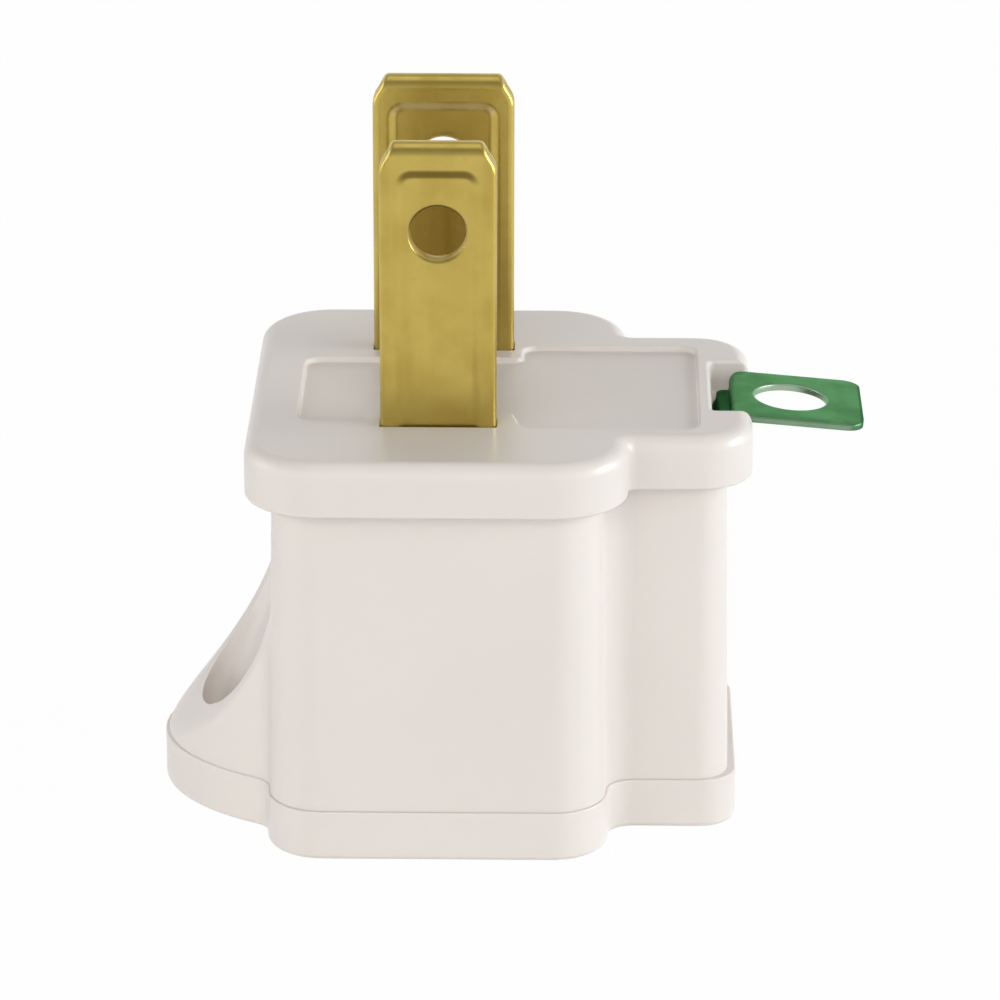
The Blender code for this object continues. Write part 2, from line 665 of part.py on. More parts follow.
def build_contact(kit, name, side, width):
    """One strip folded over at the blade tip, its ends opened into gripping leaves."""
    fold = (BLADE_THICKNESS - STRIP_THICKNESS) / 2
    half = strip_path(COVER_TOP + GAP)
    tip = arc((0.0, BLADE_TIP - BLADE_THICKNESS / 2), fold, 0.0, math.pi, ARC_STEPS)
    path = half[:-1] + tip + [(-y, z) for y, z in reversed(half[:-1])]
    turn = Matrix.Rotation(math.pi / 2, 4, "Z") @ Matrix.Rotation(math.pi / 2, 4, "X")
    place = Matrix.Translation((0, side * BLADE_Y, 0)) @ turn
    contact = bpy.data.objects.new(name, curve_mesh(name, path, width / 2, False, place))
    kit.piece(contact, kit.brass)
    sheet = contact.modifiers.new("sheet", "SOLIDIFY")
    sheet.thickness = STRIP_THICKNESS
    sheet.offset = 0.0
    sheet.use_even_offset = True

    middle = side * BLADE_Y
    reach = MOUTH_HALF_GAP + STRIP_THICKNESS + OVERRUN
    half_width = width / 2 + GAP
    low = COVER_TOP - OVERRUN
    ends = width / 2 - TIP_CHAMFER_WIDTH
    shoulder = BLADE_TIP - TIP_CHAMFER_HEIGHT
    slant = TIP_CHAMFER_HEIGHT * GAP / TIP_CHAMFER_WIDTH
    blank = [(-half_width, low), (half_width, low), (half_width, shoulder - slant), (ends, BLADE_TIP)]
    blank += [(ends, BLADE_TIP + OVERRUN), (-ends, BLADE_TIP + OVERRUN), (-ends, BLADE_TIP)]
    blank += [(-half_width, shoulder - slant)]
    kit.keep(contact, side_prism(name + "_blank", blank, middle - reach, middle + reach))

    panel_half = width / 2 - PANEL_MARGIN
    panel_low = BODY_HEIGHT - RECESS_DEPTH - OVERRUN
    panel = rectangle(-panel_half, panel_half, panel_low, BLADE_TIP - PANEL_TOP_MARGIN, PANEL_RADIUS)
    for label, face in (("_front_panel", -1), ("_back_panel", 1)):
        floor = middle + face * (BLADE_THICKNESS / 2 - PANEL_DEPTH)
        outer = middle + face * (BLADE_THICKNESS / 2 + OVERRUN)
        kit.cut(contact, side_prism(name + label, rounded(panel, FINE_ARC_STEPS),
                                    min(floor, outer), max(floor, outer)))

    hole_z = BODY_HEIGHT + BLADE_HOLE_HEIGHT
    across = Matrix.Translation((0, middle, hole_z)) @ Matrix.Rotation(math.pi / 2, 4, "X")
    kit.cut(contact, cylinder(name + "_hole", BLADE_HOLE / 2, BLADE_THICKNESS * 3, across))
    return contact


def lug_height(x):
    """Height of the middle of the lug at x."""
    return LUG_TOP_AT_BEND - LUG_THICKNESS / 2 - math.tan(LUG_SLOPE) * (x - LEG_X)


def build_ground_tab(kit):
    """Green strip: the lug, a neck that steps down over the notch floor, and a leg with two studs."""
    bottom = COVER_TOP + GAP
    step_x = LEG_X + STEP_REACH
    step_height = lug_height(step_x) - STEP_DEPTH
    corners = [(LEG_X, bottom, 0.0), (LEG_X, step_height, LEG_BEND_RADIUS)]
    corners += [(step_x, step_height, STEP_BEND_RADIUS), (step_x, lug_height(step_x), STEP_BEND_RADIUS)]
    corners += [(LUG_REACH + OVERRUN, lug_height(LUG_REACH + OVERRUN), 0.0)]
    path = rounded(corners, ARC_STEPS, closed=False)
    turn = Matrix.Rotation(math.pi / 2, 4, "X")
    tab = bpy.data.objects.new("ground_tab", curve_mesh("ground_tab", path, LUG_WIDTH / 2 + GAP, False, turn))
    kit.piece(tab, kit.green)
    sheet = tab.modifiers.new("sheet", "SOLIDIFY")
    sheet.thickness = LUG_THICKNESS
    sheet.offset = 0.0
    sheet.use_even_offset = True

    lug_start = step_x - LUG_THICKNESS / 2
    neck = NECK_WIDTH / 2
    lug = LUG_WIDTH / 2
    step = STEP_WIDTH / 2
    left = LEG_X - OVERRUN
    step_left = LEG_X + GAP
    plan = [(left, -neck, 0.0), (step_left, -neck, 0.0), (step_left, -step, 0.0), (lug_start, -step, 0.0)]
    plan += [(lug_start, -lug, LUG_CORNER)]
    plan += [(LUG_REACH, -lug, LUG_CORNER), (LUG_REACH, lug, LUG_CORNER)]
    plan += [(lug_start, lug, LUG_CORNER), (lug_start, step, 0.0)]
    plan += [(step_left, step, 0.0), (step_left, neck, 0.0), (left, neck, 0.0)]
    kit.keep(tab, prism("lug_blank", rounded(plan), bottom - OVERRUN, BODY_HEIGHT + OVERRUN))

    tilt = Matrix.Translation((LUG_HOLE_X, 0, lug_height(LUG_HOLE_X))) @ Matrix.Rotation(LUG_SLOPE, 4, "Y")
    kit.cut(tab, cylinder("lug_hole", LUG_HOLE / 2, LUG_THICKNESS * 4, tilt))

    for i, height in enumerate(STUD_HEIGHTS):
        start = LEG_INNER_X - STUD_REACH
        length = STUD_REACH + LUG_THICKNESS / 2
        place = Matrix.Translation((start + length / 2, 0, height)) @ Matrix.Rotation(math.pi / 2, 4, "Y")
        kit.join(tab, cylinder("stud_%d" % (i + 1), STUD_DIAMETER / 2, length, place))
    return tab


def build_ground_contact(kit):
    """Brass clip: a web beside the strip's leg and two leaves that grip the earth pin."""
    left = CLIP_WEB_X - CLIP_LEAF_LENGTH
    half = EARTH_PIN / 2 + CLIP_THICKNESS / 2
    rows = [(COVER_TOP + GAP, CLIP_MOUTH_FLARE), (CLIP_THROAT_HEIGHT - CLIP_LEAF_LENGTH / 2, 0.0)]
    rows += [(CLIP_THROAT_HEIGHT, -CLIP_THROAT_BOW), (CLIP_THROAT_HEIGHT + CLIP_LEAF_LENGTH, 0.0)]
    rows += [(CLIP_TOP, 0.0)]
    corners = [(left, -half, 0.0), (CLIP_WEB_X, -half, CLIP_BEND_RADIUS)]
    corners += [(CLIP_WEB_X, half, CLIP_BEND_RADIUS), (left, half, 0.0)]
    path = rounded(corners, FINE_ARC_STEPS, closed=False)
    bm = bmesh.new()
    grid = []
    for height, bow in rows:
        ring = []
        for x, y in path:
            free = (CLIP_WEB_X - x) / CLIP_LEAF_LENGTH
            shift = math.copysign(bow * free, y)
            ring.append(bm.verts.new((x, y + shift, height)))
        grid.append(ring)
    for lower, upper in zip(grid, grid[1:]):
        for i in range(len(path) - 1):
            bm.faces.new((lower[i], lower[i + 1], upper[i + 1], upper[i]))
    mesh = bpy.data.meshes.new("ground_contact")
    bm.to_mesh(mesh)
    bm.free()
    clip = bpy.data.objects.new("ground_contact", mesh)
    kit.piece(clip, kit.brass)
    sheet = clip.modifiers.new("sheet", "SOLIDIFY")
    sheet.thickness = CLIP_THICKNESS
    sheet.offset = 0.0
    sheet.use_even_offset = True
    for i, height in enumerate(STUD_HEIGHTS):
        place = Matrix.Translation((CLIP_WEB_X, 0, height)) @ Matrix.Rotation(math.pi / 2, 4, "Y")
        hole = STUD_DIAMETER / 2 + GAP
        kit.cut(clip, cylinder("stud_hole_%d" % (i + 1), hole, CLIP_THICKNESS * 3, place))
    return clip


def main():
    """Build every piece of the adapter."""
    clear_scene()
    kit = Assembly()
    pieces = [build_housing(kit), build_cover(kit)]
    pieces.append(build_contact(kit, "hot_contact", -1, HOT_WIDTH))
    pieces.append(build_contact(kit, "neutral_contact", 1, NEUTRAL_WIDTH))
    pieces.append(build_ground_tab(kit))
    pieces.append(build_ground_contact(kit))
    for obj in pieces:
        kit.smooth(obj)


main()
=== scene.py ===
"""Looks of a grounding plug adapter: moulded housing and cover, folded brass contacts, green lug strip.

Everything is in metres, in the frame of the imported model: the receptacle face lies on z = 0 with the
origin midway between the blades, +Z points to the blade tips and +X to the green lug.
"""

import json
import logging
import math
from dataclasses import dataclass, field
from enum import Enum
from typing import Callable, Iterable, Sequence

import bmesh
import bpy
from mathutils import Matrix, Vector

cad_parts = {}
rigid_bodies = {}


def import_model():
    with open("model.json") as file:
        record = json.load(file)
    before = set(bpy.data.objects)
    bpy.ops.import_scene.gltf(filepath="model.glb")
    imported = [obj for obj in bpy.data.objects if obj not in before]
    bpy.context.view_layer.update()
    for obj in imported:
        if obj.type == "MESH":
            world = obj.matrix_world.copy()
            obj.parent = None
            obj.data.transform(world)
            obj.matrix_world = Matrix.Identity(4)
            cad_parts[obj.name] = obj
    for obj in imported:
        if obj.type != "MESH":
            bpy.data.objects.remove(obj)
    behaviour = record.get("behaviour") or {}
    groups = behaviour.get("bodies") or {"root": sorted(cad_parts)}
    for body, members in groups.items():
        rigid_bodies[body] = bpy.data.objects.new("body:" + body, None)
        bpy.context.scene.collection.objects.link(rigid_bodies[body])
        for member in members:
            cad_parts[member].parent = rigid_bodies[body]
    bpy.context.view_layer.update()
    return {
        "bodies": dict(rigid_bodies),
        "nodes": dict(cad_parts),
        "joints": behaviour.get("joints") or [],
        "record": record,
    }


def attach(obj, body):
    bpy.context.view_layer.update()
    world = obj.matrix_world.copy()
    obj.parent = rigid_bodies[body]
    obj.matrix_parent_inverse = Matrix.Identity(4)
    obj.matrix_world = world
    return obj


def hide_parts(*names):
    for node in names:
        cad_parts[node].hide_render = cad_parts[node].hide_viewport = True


LOG = logging.getLogger("plug_adapter")
MM = 0.001
BODY = "root"

QUARTER = math.pi / 2
POCKET_ANGLE = math.radians(80.0)  # where a pocket's rounded rim goes over into a straight flare
BORE_ANGLE = math.radians(78.0)  # the same for a round hole
CUT_LIFT = 0.06 * MM  # how far a flare goes on over the face that it opens in

Point = tuple[float, float]
Corner = tuple[float, float, float]
Colour = tuple[float, float, float]
Path = list[Point]
Ring = tuple[Path, float]
Object = bpy.types.Object
Material = bpy.types.Material
Node = bpy.types.Node
Socket = bpy.types.NodeSocket


class Slot(Enum):
    """Material slots of the record."""

    PLASTIC = "plastic"
    BRASS = "brass"
    GREEN = "green_metal"


# ---------------------------------------------------------------- outlines


def arc_points(centre: Point, radius: float, start: float, end: float, steps: int) -> Path:
    """Points along an arc, both ends included.

    Args:
        centre: Centre of the arc.
        radius: Radius of the arc.
        start: First angle in radians.
        end: Last angle in radians.
        steps: Number of chords.

    Returns:
        The points.
    """
    angles = [start + (end - start) * i / steps for i in range(steps + 1)]
    return [(centre[0] + radius * math.cos(a), centre[1] + radius * math.sin(a)) for a in angles]


def rounding(radius: float, steps: int, last: float = QUARTER) -> list[Point]:
    """Steps of a rounded edge.

    Args:
        radius: Radius of the edge.
        steps: Chords in the rounding.
        last: Angle in radians at which it stops.

    Returns:
        Pairs that start at (0, radius) and, over a full quarter, end at (radius, 0).
    """
    angles = [last * i / steps for i in range(steps + 1)]
    return [(radius * (1 - math.cos(a)), radius * (1 - math.sin(a))) for a in angles]


def rim(radius: float, lift: float, steps: int, last: float) -> list[Point]:
    """Profile of a cut's rim, rounded over and then carried on straight past the face.

    Args:
        radius: Radius of the rim.
        lift: How far past the face the profile goes.
        steps: Chords in the rounding.
        last: Angle in radians at which the rounding stops.

    Returns:
        Points as (distance out from the cut's wall, height over the face).
    """
    points = [(out, -down) for out, down in rounding(radius, steps, last)]
    out, level = points[-1]
    return points + [(out + (lift - level) * math.tan(last), lift)]


def heading(line: Path, i: int, closed: bool = False) -> Vector:
    """Direction of a path at one of its points, from the point before to the point after.

    Args:
        line: The path.
        i: Index of the point.
        closed: Whether the last point joins the first.

    Returns:
        The direction, of length 1.
    """
    if closed:
        before, after = line[i - 1], line[(i + 1) % len(line)]
    else:
        before, after = line[max(0, i - 1)], line[min(len(line) - 1, i + 1)]
    return Vector((after[0] - before[0], after[1] - before[1])).normalized()


def rounded(corners: Sequence[Corner], steps: int = 12, closed: bool = True) -> Path:
    """Round each corner of a path as far as its sides allow.

    Args:
        corners: Corners as (x, y, radius); a radius of 0 keeps the corner.
        steps: Chords in each rounding.
        closed: Whether the last corner joins the first.

    Returns:
        The rounded path.
    """
    count = len(corners)
    points = [Vector(corner[:2]) for corner in corners]
    reach = []
    for i, corner in enumerate(corners):
        if corner[2] <= 0 or (not closed and i in (0, count - 1)):
            reach.append(0.0)
            continue
        before = points[i - 1] - points[i]
        after = points[(i + 1) % count] - points[i]
        reach.append(corner[2] / math.tan(before.angle(after) / 2))
    path: Path = []
    for i, corner in enumerate(corners):
        if reach[i] == 0.0:
            path.append((corner[0], corner[1]))
            continue
        share = 1.0
        for j in (i - 1, (i + 1) % count):
            side = (points[j] - points[i]).length
            share = min(share, 0.98 * side / (reach[i] + reach[j]))
        before = (points[i - 1] - points[i]).normalized()
        after = (points[(i + 1) % count] - points[i]).normalized()
        half = before.angle(after) / 2
        radius = corner[2] * share
        middle = points[i] + (before + after).normalized() * radius / math.sin(half)
        first = points[i] + before * radius / math.tan(half) - middle
        last = points[i] + after * radius / math.tan(half) - middle
        turn = first.angle_signed(last)
        for k in range(steps + 1):
            spot = middle + Matrix.Rotation(-turn * k / steps, 2) @ first
            path.append((spot.x, spot.y))
    return path


def grown(corners: Sequence[Corner], offset: float, smallest: float = 0.02 * MM) -> list[Corner]:
    """Move every side of a counter-clockwise outline outwards.

    Args:
        corners: Corners as (x, y, radius).
        offset: How far to move the sides; negative moves them inwards.
        smallest: The least radius that a rounded corner keeps.

    Returns:
        The new corners, with radii that keep the rounding concentric.
    """
    count = len(corners)
    result: list[Corner] = []
    for i in range(count):
        before = Vector(corners[i - 1][:2])
        here = Vector(corners[i][:2])
        after = Vector(corners[(i + 1) % count][:2])
        into = (here - before).normalized()
        out = (after - here).normalized()
        turn = into.x * out.y - into.y * out.x
        normal_in = Vector((into.y, -into.x))
        normal_out = Vector((out.y, -out.x))
        moved = here + (normal_in + normal_out) * offset / (1.0 + normal_in.dot(normal_out))
        radius = corners[i][2]
        if radius > 0:
            radius = max(smallest, radius + (offset if turn > 0 else -offset))
        result.append((moved.x, moved.y, radius))
    return result


def rectangle(x0: float, x1: float, y0: float, y1: float, radius: float) -> list[Corner]:
    """Corners of a counter-clockwise rectangle with one corner radius."""
    return [(x0, y0, radius), (x1, y0, radius), (x1, y1, radius), (x0, y1, radius)]


# ---------------------------------------------------------------- meshes


def new_object(name: str, bm: bmesh.types.BMesh) -> Object:
    """Turn a bmesh into an object that isn't linked yet, and free the bmesh.

    Args:
        name: Name of the object and its mesh.
        bm: The mesh data.

    Returns:
        The new object.
    """
    mesh = bpy.data.meshes.new(name)
    bmesh.ops.recalc_face_normals(bm, faces=bm.faces)
    bm.to_mesh(mesh)
    bm.free()
    return bpy.data.objects.new(name, mesh)


def skinned(name: str, rows: Sequence[Sequence[Sequence[float]]], weld: float = 0.0) -> Object:
    """A closed solid through rings of points that all have as many.

    Args:
        name: Name of the object.
        rows: The points of each ring, in order.
        weld: Where the last ring is folded flat, the distance within which its points are merged. At 0 the
            last ring gets a face, as the first one does.

    Returns:
        The solid.
    """
    bm = bmesh.new()
    loops = [[bm.verts.new(point) for point in row] for row in rows]
    count = len(loops[0])
    for lower, upper in zip(loops, loops[1:]):
        for i in range(count):
            j = (i + 1) % count
            bm.faces.new((lower[i], lower[j], upper[j], upper[i]))
    bm.faces.new(loops[0])
    if weld:
        bmesh.ops.remove_doubles(bm, verts=bm.verts, dist=weld)
    else:
        bm.faces.new(loops[-1])
    return new_object(name, bm)


def lofted(name: str, rings: Sequence[Ring]) -> Object:
    """A closed solid through level outlines, given as (path, height), that all have as many points."""
    return skinned(name, [[(x, y, z) for x, y in path] for path, z in rings])


def prism(name: str, corners: Sequence[Corner], low: float, high: float, steps: int = 8) -> Object:
    """An upright solid with the outline given, from height low to height high."""
    path = rounded(corners, steps)
    return lofted(name, [(path, low), (path, high)])


def end_rings(corners: Sequence[Corner], end: float, other: float, radius: float,
              steps: int = 6) -> list[Ring]:
    """Rings of an outline whose edge is rounded off at one end.

    Args:
        corners: The outline.
        end: Height of the rounded end.
        other: Height that the outline goes to.
        radius: Radius of the edge.
        steps: Chords in the rounding.

    Returns:
        The rings from the rounded end to where the rounding stops.
    """
    way = math.copysign(1.0, other - end)
    return [(rounded(grown(corners, -inset)), end + way * rise) for rise, inset in rounding(radius, steps)]


def pocket(name: str, corners: Sequence[Corner], floor: float, top: float, floor_radius: float,
           rim_radius: float, steps: int = 5) -> Object:
    """A cutter for a pocket with a filleted floor and a rounded rim.

    Args:
        name: Name of the cutter.
        corners: Outline of the pocket's wall.
        floor: Height of the floor.
        top: Height of the face that the pocket opens in.
        floor_radius: Fillet between floor and wall, or 0.
        rim_radius: Rounding where the wall meets the face.
        steps: Chords in each rounding.

    Returns:
        The cutter.
    """
    rings: list[Ring] = [(rounded(corners), floor)]
    if floor_radius > 0:
        rings = end_rings(corners, floor, top, floor_radius, steps)
    for out, level in rim(rim_radius, CUT_LIFT, steps, POCKET_ANGLE):
        rings.append((rounded(grown(corners, out)), top + level))
    return lofted(name, rings)


def bore(name: str, radius: float, half: float, edge: Sequence[Point], sides: int,
         place: Callable[[float, float, float], Sequence[float]]) -> Object:
    """A cutter for a round hole that is flared at both faces.

    Args:
        name: Name of the cutter.
        radius: Radius of the hole.
        half: Half the thickness that it goes through.
        edge: Profile of its rim.
        sides: Sides of the hole.
        place: Takes a point whose third coordinate lies along the hole's axis to its place in the part.

    Returns:
        The cutter.
    """
    profile = [(radius + out, half + level) for out, level in edge]
    angles = [2 * math.pi * i / sides for i in range(sides)]
    rows = []
    for wide, level in [(wide, -level) for wide, level in reversed(profile)] + profile:
        rows.append([place(wide * math.cos(a), wide * math.sin(a), level) for a in angles])
    return skinned(name, rows)


def combine(target: Object, tool: Object, operation: str = "DIFFERENCE") -> None:
    """Add an exact Boolean step to a piece.

    Args:
        target: The piece.
        tool: The shape that it is joined to or cut by.
        operation: UNION or DIFFERENCE.
    """
    step = target.modifiers.new(operation.lower() + "_" + tool.name, "BOOLEAN")
    step.operation = operation
    step.object = tool
    step.solver = "EXACT"


def settled(target: Object, sharp_angle: float = 32.0) -> Object:
    """Apply a piece's Boolean steps, drop its tools and give it even normals.

    Args:
        target: The piece with its steps.
        sharp_angle: Edges above this angle in degrees stay sharp.

    Returns:
        The finished piece, linked to the scene.
    """
    scene = bpy.context.scene
    tools = [step.object for step in target.modifiers]
    scene.collection.objects.link(target)
    for tool in tools:
        scene.collection.objects.link(tool)
        tool.hide_render = True
    bpy.context.view_layer.update()
    depsgraph = bpy.context.evaluated_depsgraph_get()
    mesh = bpy.data.meshes.new_from_object(target.evaluated_get(depsgraph))
    name = target.name
    for spent in (target, *tools):
        bpy.data.objects.remove(spent, do_unlink=True)
    bm = bmesh.new()
    bm.from_mesh(mesh)
    bmesh.ops.remove_doubles(bm, verts=bm.verts, dist=0.002 * MM)
    bmesh.ops.dissolve_degenerate(bm, edges=bm.edges, dist=0.001 * MM)
    bm.to_mesh(mesh)
    bm.free()
    mesh.name = name
    piece = bpy.data.objects.new(name, mesh)
    scene.collection.objects.link(piece)
    mesh.shade_smooth()
    mesh.set_sharp_from_angle(angle=math.radians(sharp_angle))
    even = piece.modifiers.new("even_normals", "WEIGHTED_NORMAL")
    even.mode = "FACE_AREA"
    even.weight = 50
    even.keep_sharp = True
    return piece


# ---------------------------------------------------------------- shader building


class Graph:
    """A small helper that places and links nodes in a node tree."""

    MIX_INPUTS = (0, 6, 7)  # factor, first and second colour of a Mix node set to colours
    MIX_RESULT = 2

    def __init__(self, tree: bpy.types.NodeTree) -> None:
        """Hold the tree that nodes are added to."""
        self.tree = tree

    def node(self, kind: str, **values: object) -> Node:
        """Add a node and set its properties.

        Args:
            kind: The node's type name.
            values: Properties of the node.

        Returns:
            The node.
        """
        made = self.tree.nodes.new(kind)
        for key, value in values.items():
            setattr(made, key, value)
        return made

    def link(self, source: Socket, target: Socket) -> None:
        """Link one socket to another."""
        self.tree.links.new(source, target)

    def feed(self, socket: Socket, value: object) -> None:
        """Link a socket to an input, or set a plain value on it, a colour's alpha being 1."""
        if isinstance(value, bpy.types.NodeSocket):
            self.link(value, socket)
        elif socket.type == "RGBA":
            socket.default_value = (*value, 1.0)
        else:
            socket.default_value = value

    def fill(self, node: Node, **values: object) -> Node:
        """Feed a node's inputs.

        Args:
            node: The node.
            values: Sockets or plain values by input name, with spaces as underscores.

        Returns:
            The same node.
        """
        for name, value in values.items():
            self.feed(node.inputs[name.replace("_", " ")], value)
        return node

    def math(self, operation: str, first: object, second: object = 0.0) -> Socket:
        """Add a Math node on sockets or numbers.

        Args:
            operation: The Math node's operation.
            first: A socket or a number.
            second: A socket or a number.

        Returns:
            The node's output.
        """
        made = self.node("ShaderNodeMath", operation=operation)
        for socket, value in zip(made.inputs, (first, second)):
            self.feed(socket, value)
        return made.outputs[0]

    def ramp(self, source: Socket, low: float, high: float, start: float = 0.0, end: float = 1.0) -> Socket:
        """Map a value smoothly from one range to another.

        Args:
            source: The value.
            low: Value that gives start.
            high: Value that gives end.
            start: Output at low.
            end: Output at high.

        Returns:
            The mapped value.
        """
        made = self.node("ShaderNodeMapRange", interpolation_type="SMOOTHSTEP")
        self.fill(made, Value=source, From_Min=low, From_Max=high, To_Min=start, To_Max=end)
        return made.outputs["Result"]

    def mix(self, factor: Socket, first: object, second: object) -> Socket:
        """Mix two colours.

        Args:
            factor: Share of the second colour.
            first: First colour or socket.
            second: Second colour or socket.

        Returns:
            The mixed colour.
        """
        made = self.node("ShaderNodeMix", data_type="RGBA")
        for i, value in zip(self.MIX_INPUTS, (factor, first, second)):
            self.feed(made.inputs[i], value)
        return made.outputs[self.MIX_RESULT]

    def parts(self, vector: Socket) -> bpy.types.NodeOutputs:
        """The X, Y and Z of a vector, by name."""
        return self.fill(self.node("ShaderNodeSeparateXYZ"), Vector=vector).outputs

    def surface(self, what: str) -> bpy.types.NodeOutputs:
        """The X, Y and Z of the surface's Position or Normal, by name."""
        return self.parts(self.node("ShaderNodeNewGeometry").outputs[what])

    def coordinates(self, what: str) -> Socket:
        """The texture coordinates of the kind named."""
        return self.node("ShaderNodeTexCoord").outputs[what]

    def noise(self, vector: Socket, scale: object, detail: object = 2.0) -> Socket:
        """The value of a noise texture at a vector."""
        made = self.node("ShaderNodeTexNoise")
        return self.fill(made, Vector=vector, Scale=scale, Detail=detail).outputs["Fac"]

    def bump(self, height: Socket, strength: float, distance: float) -> Socket:
        """The normal of a surface that is raised by a height."""
        made = self.node("ShaderNodeBump")
        return self.fill(made, Height=height, Strength=strength, Distance=distance).outputs["Normal"]


def new_material(name: str) -> tuple[Material, Graph, Node]:
    """Make a material.

    Args:
        name: Name of the material.

    Returns:
        The material, its graph and its Principled BSDF.
    """
    mat = bpy.data.materials.new(name)
    mat.use_nodes = True
    return mat, Graph(mat.node_tree), mat.node_tree.nodes["Principled BSDF"]


class EffectGroup(Enum):
    """Shader effects that several finishes share."""

    CLOUDING = "colour_clouding"
    GRAIN = "surface_grain"
    BRUSHING = "rolled_lines"


class Effects:
    """Builds each shared effect once and places it in materials."""

    def __init__(self) -> None:
        """Start with no group built."""
        self.built: dict[EffectGroup, bpy.types.NodeTree] = {}

    def place(self, graph: Graph, effect: EffectGroup, **values: float) -> bpy.types.NodeOutputs:
        """Put an effect in a material with its own values.

        Args:
            graph: The material's graph.
            effect: Which effect.
            values: Input values by socket name, with spaces as underscores.

        Returns:
            The group node's outputs.
        """
        if effect not in self.built:
            builders = {EffectGroup.CLOUDING: self.clouding, EffectGroup.GRAIN: self.grain,
                        EffectGroup.BRUSHING: self.brushing}
            self.built[effect] = builders[effect]()
        made = graph.node("ShaderNodeGroup", label=effect.value, node_tree=self.built[effect])
        return graph.fill(made, **values).outputs

    def shell(self, effect: EffectGroup, inputs: dict[str, float],
              outputs: Sequence[str]) -> tuple[Graph, bpy.types.NodeOutputs, Node]:
        """Make an empty group with its sockets.

        Args:
            effect: Names the group.
            inputs: Defaults of the input sockets by name.
            outputs: Output socket names.

        Returns:
            The graph, the values given to the group and its output node.
        """
        tree = bpy.data.node_groups.new(effect.value, "ShaderNodeTree")
        for name, value in inputs.items():
            socket = tree.interface.new_socket(name=name, in_out="INPUT", socket_type="NodeSocketFloat")
            socket.default_value = value
        for name in outputs:
            tree.interface.new_socket(name=name, in_out="OUTPUT", socket_type="NodeSocketFloat")
        graph = Graph(tree)
        return graph, graph.node("NodeGroupInput").outputs, graph.node("NodeGroupOutput")

    def clouding(self) -> bpy.types.NodeTree:
        """Soft patches of slightly different tone, broad and fine together."""
        graph, given, out = self.shell(EffectGroup.CLOUDING, {"Scale": 100.0, "Detail": 4.0}, ["Mask"])
        noise = graph.noise(graph.coordinates("Object"), given["Scale"], given["Detail"])
        graph.fill(out, Mask=graph.ramp(noise, 0.3, 0.7))
        return graph.tree

    def grain(self) -> bpy.types.NodeTree:
        """Fine pits and broad swells, as a mould leaves them."""
        graph, given, out = self.shell(EffectGroup.GRAIN, {"Scale": 4000.0, "Swell": 0.4}, ["Height"])
        place = graph.coordinates("Object")
        fine = graph.noise(place, given["Scale"], 3.0)
        broad = graph.noise(place, graph.math("MULTIPLY", given["Scale"], 0.08))
        swell = graph.math("MULTIPLY", broad, given["Swell"])
        graph.fill(out, Height=graph.math("ADD", fine, swell))
        return graph.tree

    def brushing(self) -> bpy.types.NodeTree:
        """Long fine lines along Z and broader streaks with them, as rolling and drawing leave them."""
        graph, given, out = self.shell(EffectGroup.BRUSHING, {"Across": 9000.0, "Along": 350.0},
                                       ["Lines", "Streaks"])
        parts = graph.parts(graph.coordinates("Object"))
        made = []
        for share in (1.0, 0.16):
            across, along = [graph.math("MULTIPLY", given[name], share) for name in ("Across", "Along")]
            scales = {"X": across, "Y": across, "Z": along}
            stretched = {axis: graph.math("MULTIPLY", parts[axis], scales[axis]) for axis in scales}
            vector = graph.fill(graph.node("ShaderNodeCombineXYZ"), **stretched).outputs[0]
            made.append(graph.noise(vector, 1.0, 3.0))
        graph.fill(out, Lines=made[0], Streaks=graph.ramp(made[1], 0.3, 0.7))
        return graph.tree


@dataclass(frozen=True)
class MouldedPlastic:
    """Warm white plastic with a satin mould finish, matte on the floor of the label recess."""

    colour: Colour = (0.76, 0.706, 0.66)
    shade: Colour = (0.75, 0.695, 0.648)
    roughness: float = 0.30
    matte: float = 0.42
    recess_floor: float = 23.4 * MM

    def material(self, effects: Effects) -> Material:
        """Build the material.

        Args:
            effects: The shared effects.

        Returns:
            The material.
        """
        mat, graph, shader = new_material("warm_white_plastic")
        clouds = effects.place(graph, EffectGroup.CLOUDING, Scale=90.0, Detail=1.0)["Mask"]
        off = graph.math("SUBTRACT", graph.surface("Position")["Z"], self.recess_floor)
        near = graph.ramp(graph.math("ABSOLUTE", off), 0.04 * MM, 0.1 * MM, 1.0, 0.0)
        floor = graph.math("MULTIPLY", near, graph.ramp(graph.surface("Normal")["Z"], 0.9, 0.99))
        grain = effects.place(graph, EffectGroup.GRAIN, Scale=5200.0, Swell=1.2)["Height"]
        coarse = effects.place(graph, EffectGroup.GRAIN, Scale=2600.0, Swell=0.2)["Height"]
        coarse = graph.math("MULTIPLY", coarse, graph.math("MULTIPLY", floor, 4.0))
        spread = graph.ramp(clouds, 0.0, 1.0, self.roughness - 0.01, self.roughness + 0.02)
        matte = graph.math("MULTIPLY", floor, self.matte - self.roughness)
        graph.fill(shader, Base_Color=graph.mix(clouds, self.colour, self.shade),
                   Roughness=graph.math("ADD", spread, matte), IOR=1.5,
                   Normal=graph.bump(graph.math("ADD", grain, coarse), 0.10, 0.02 * MM),
                   Subsurface_Weight=0.12, Subsurface_Radius=(1.0, 0.8, 0.6), Subsurface_Scale=0.6 * MM)
        return mat


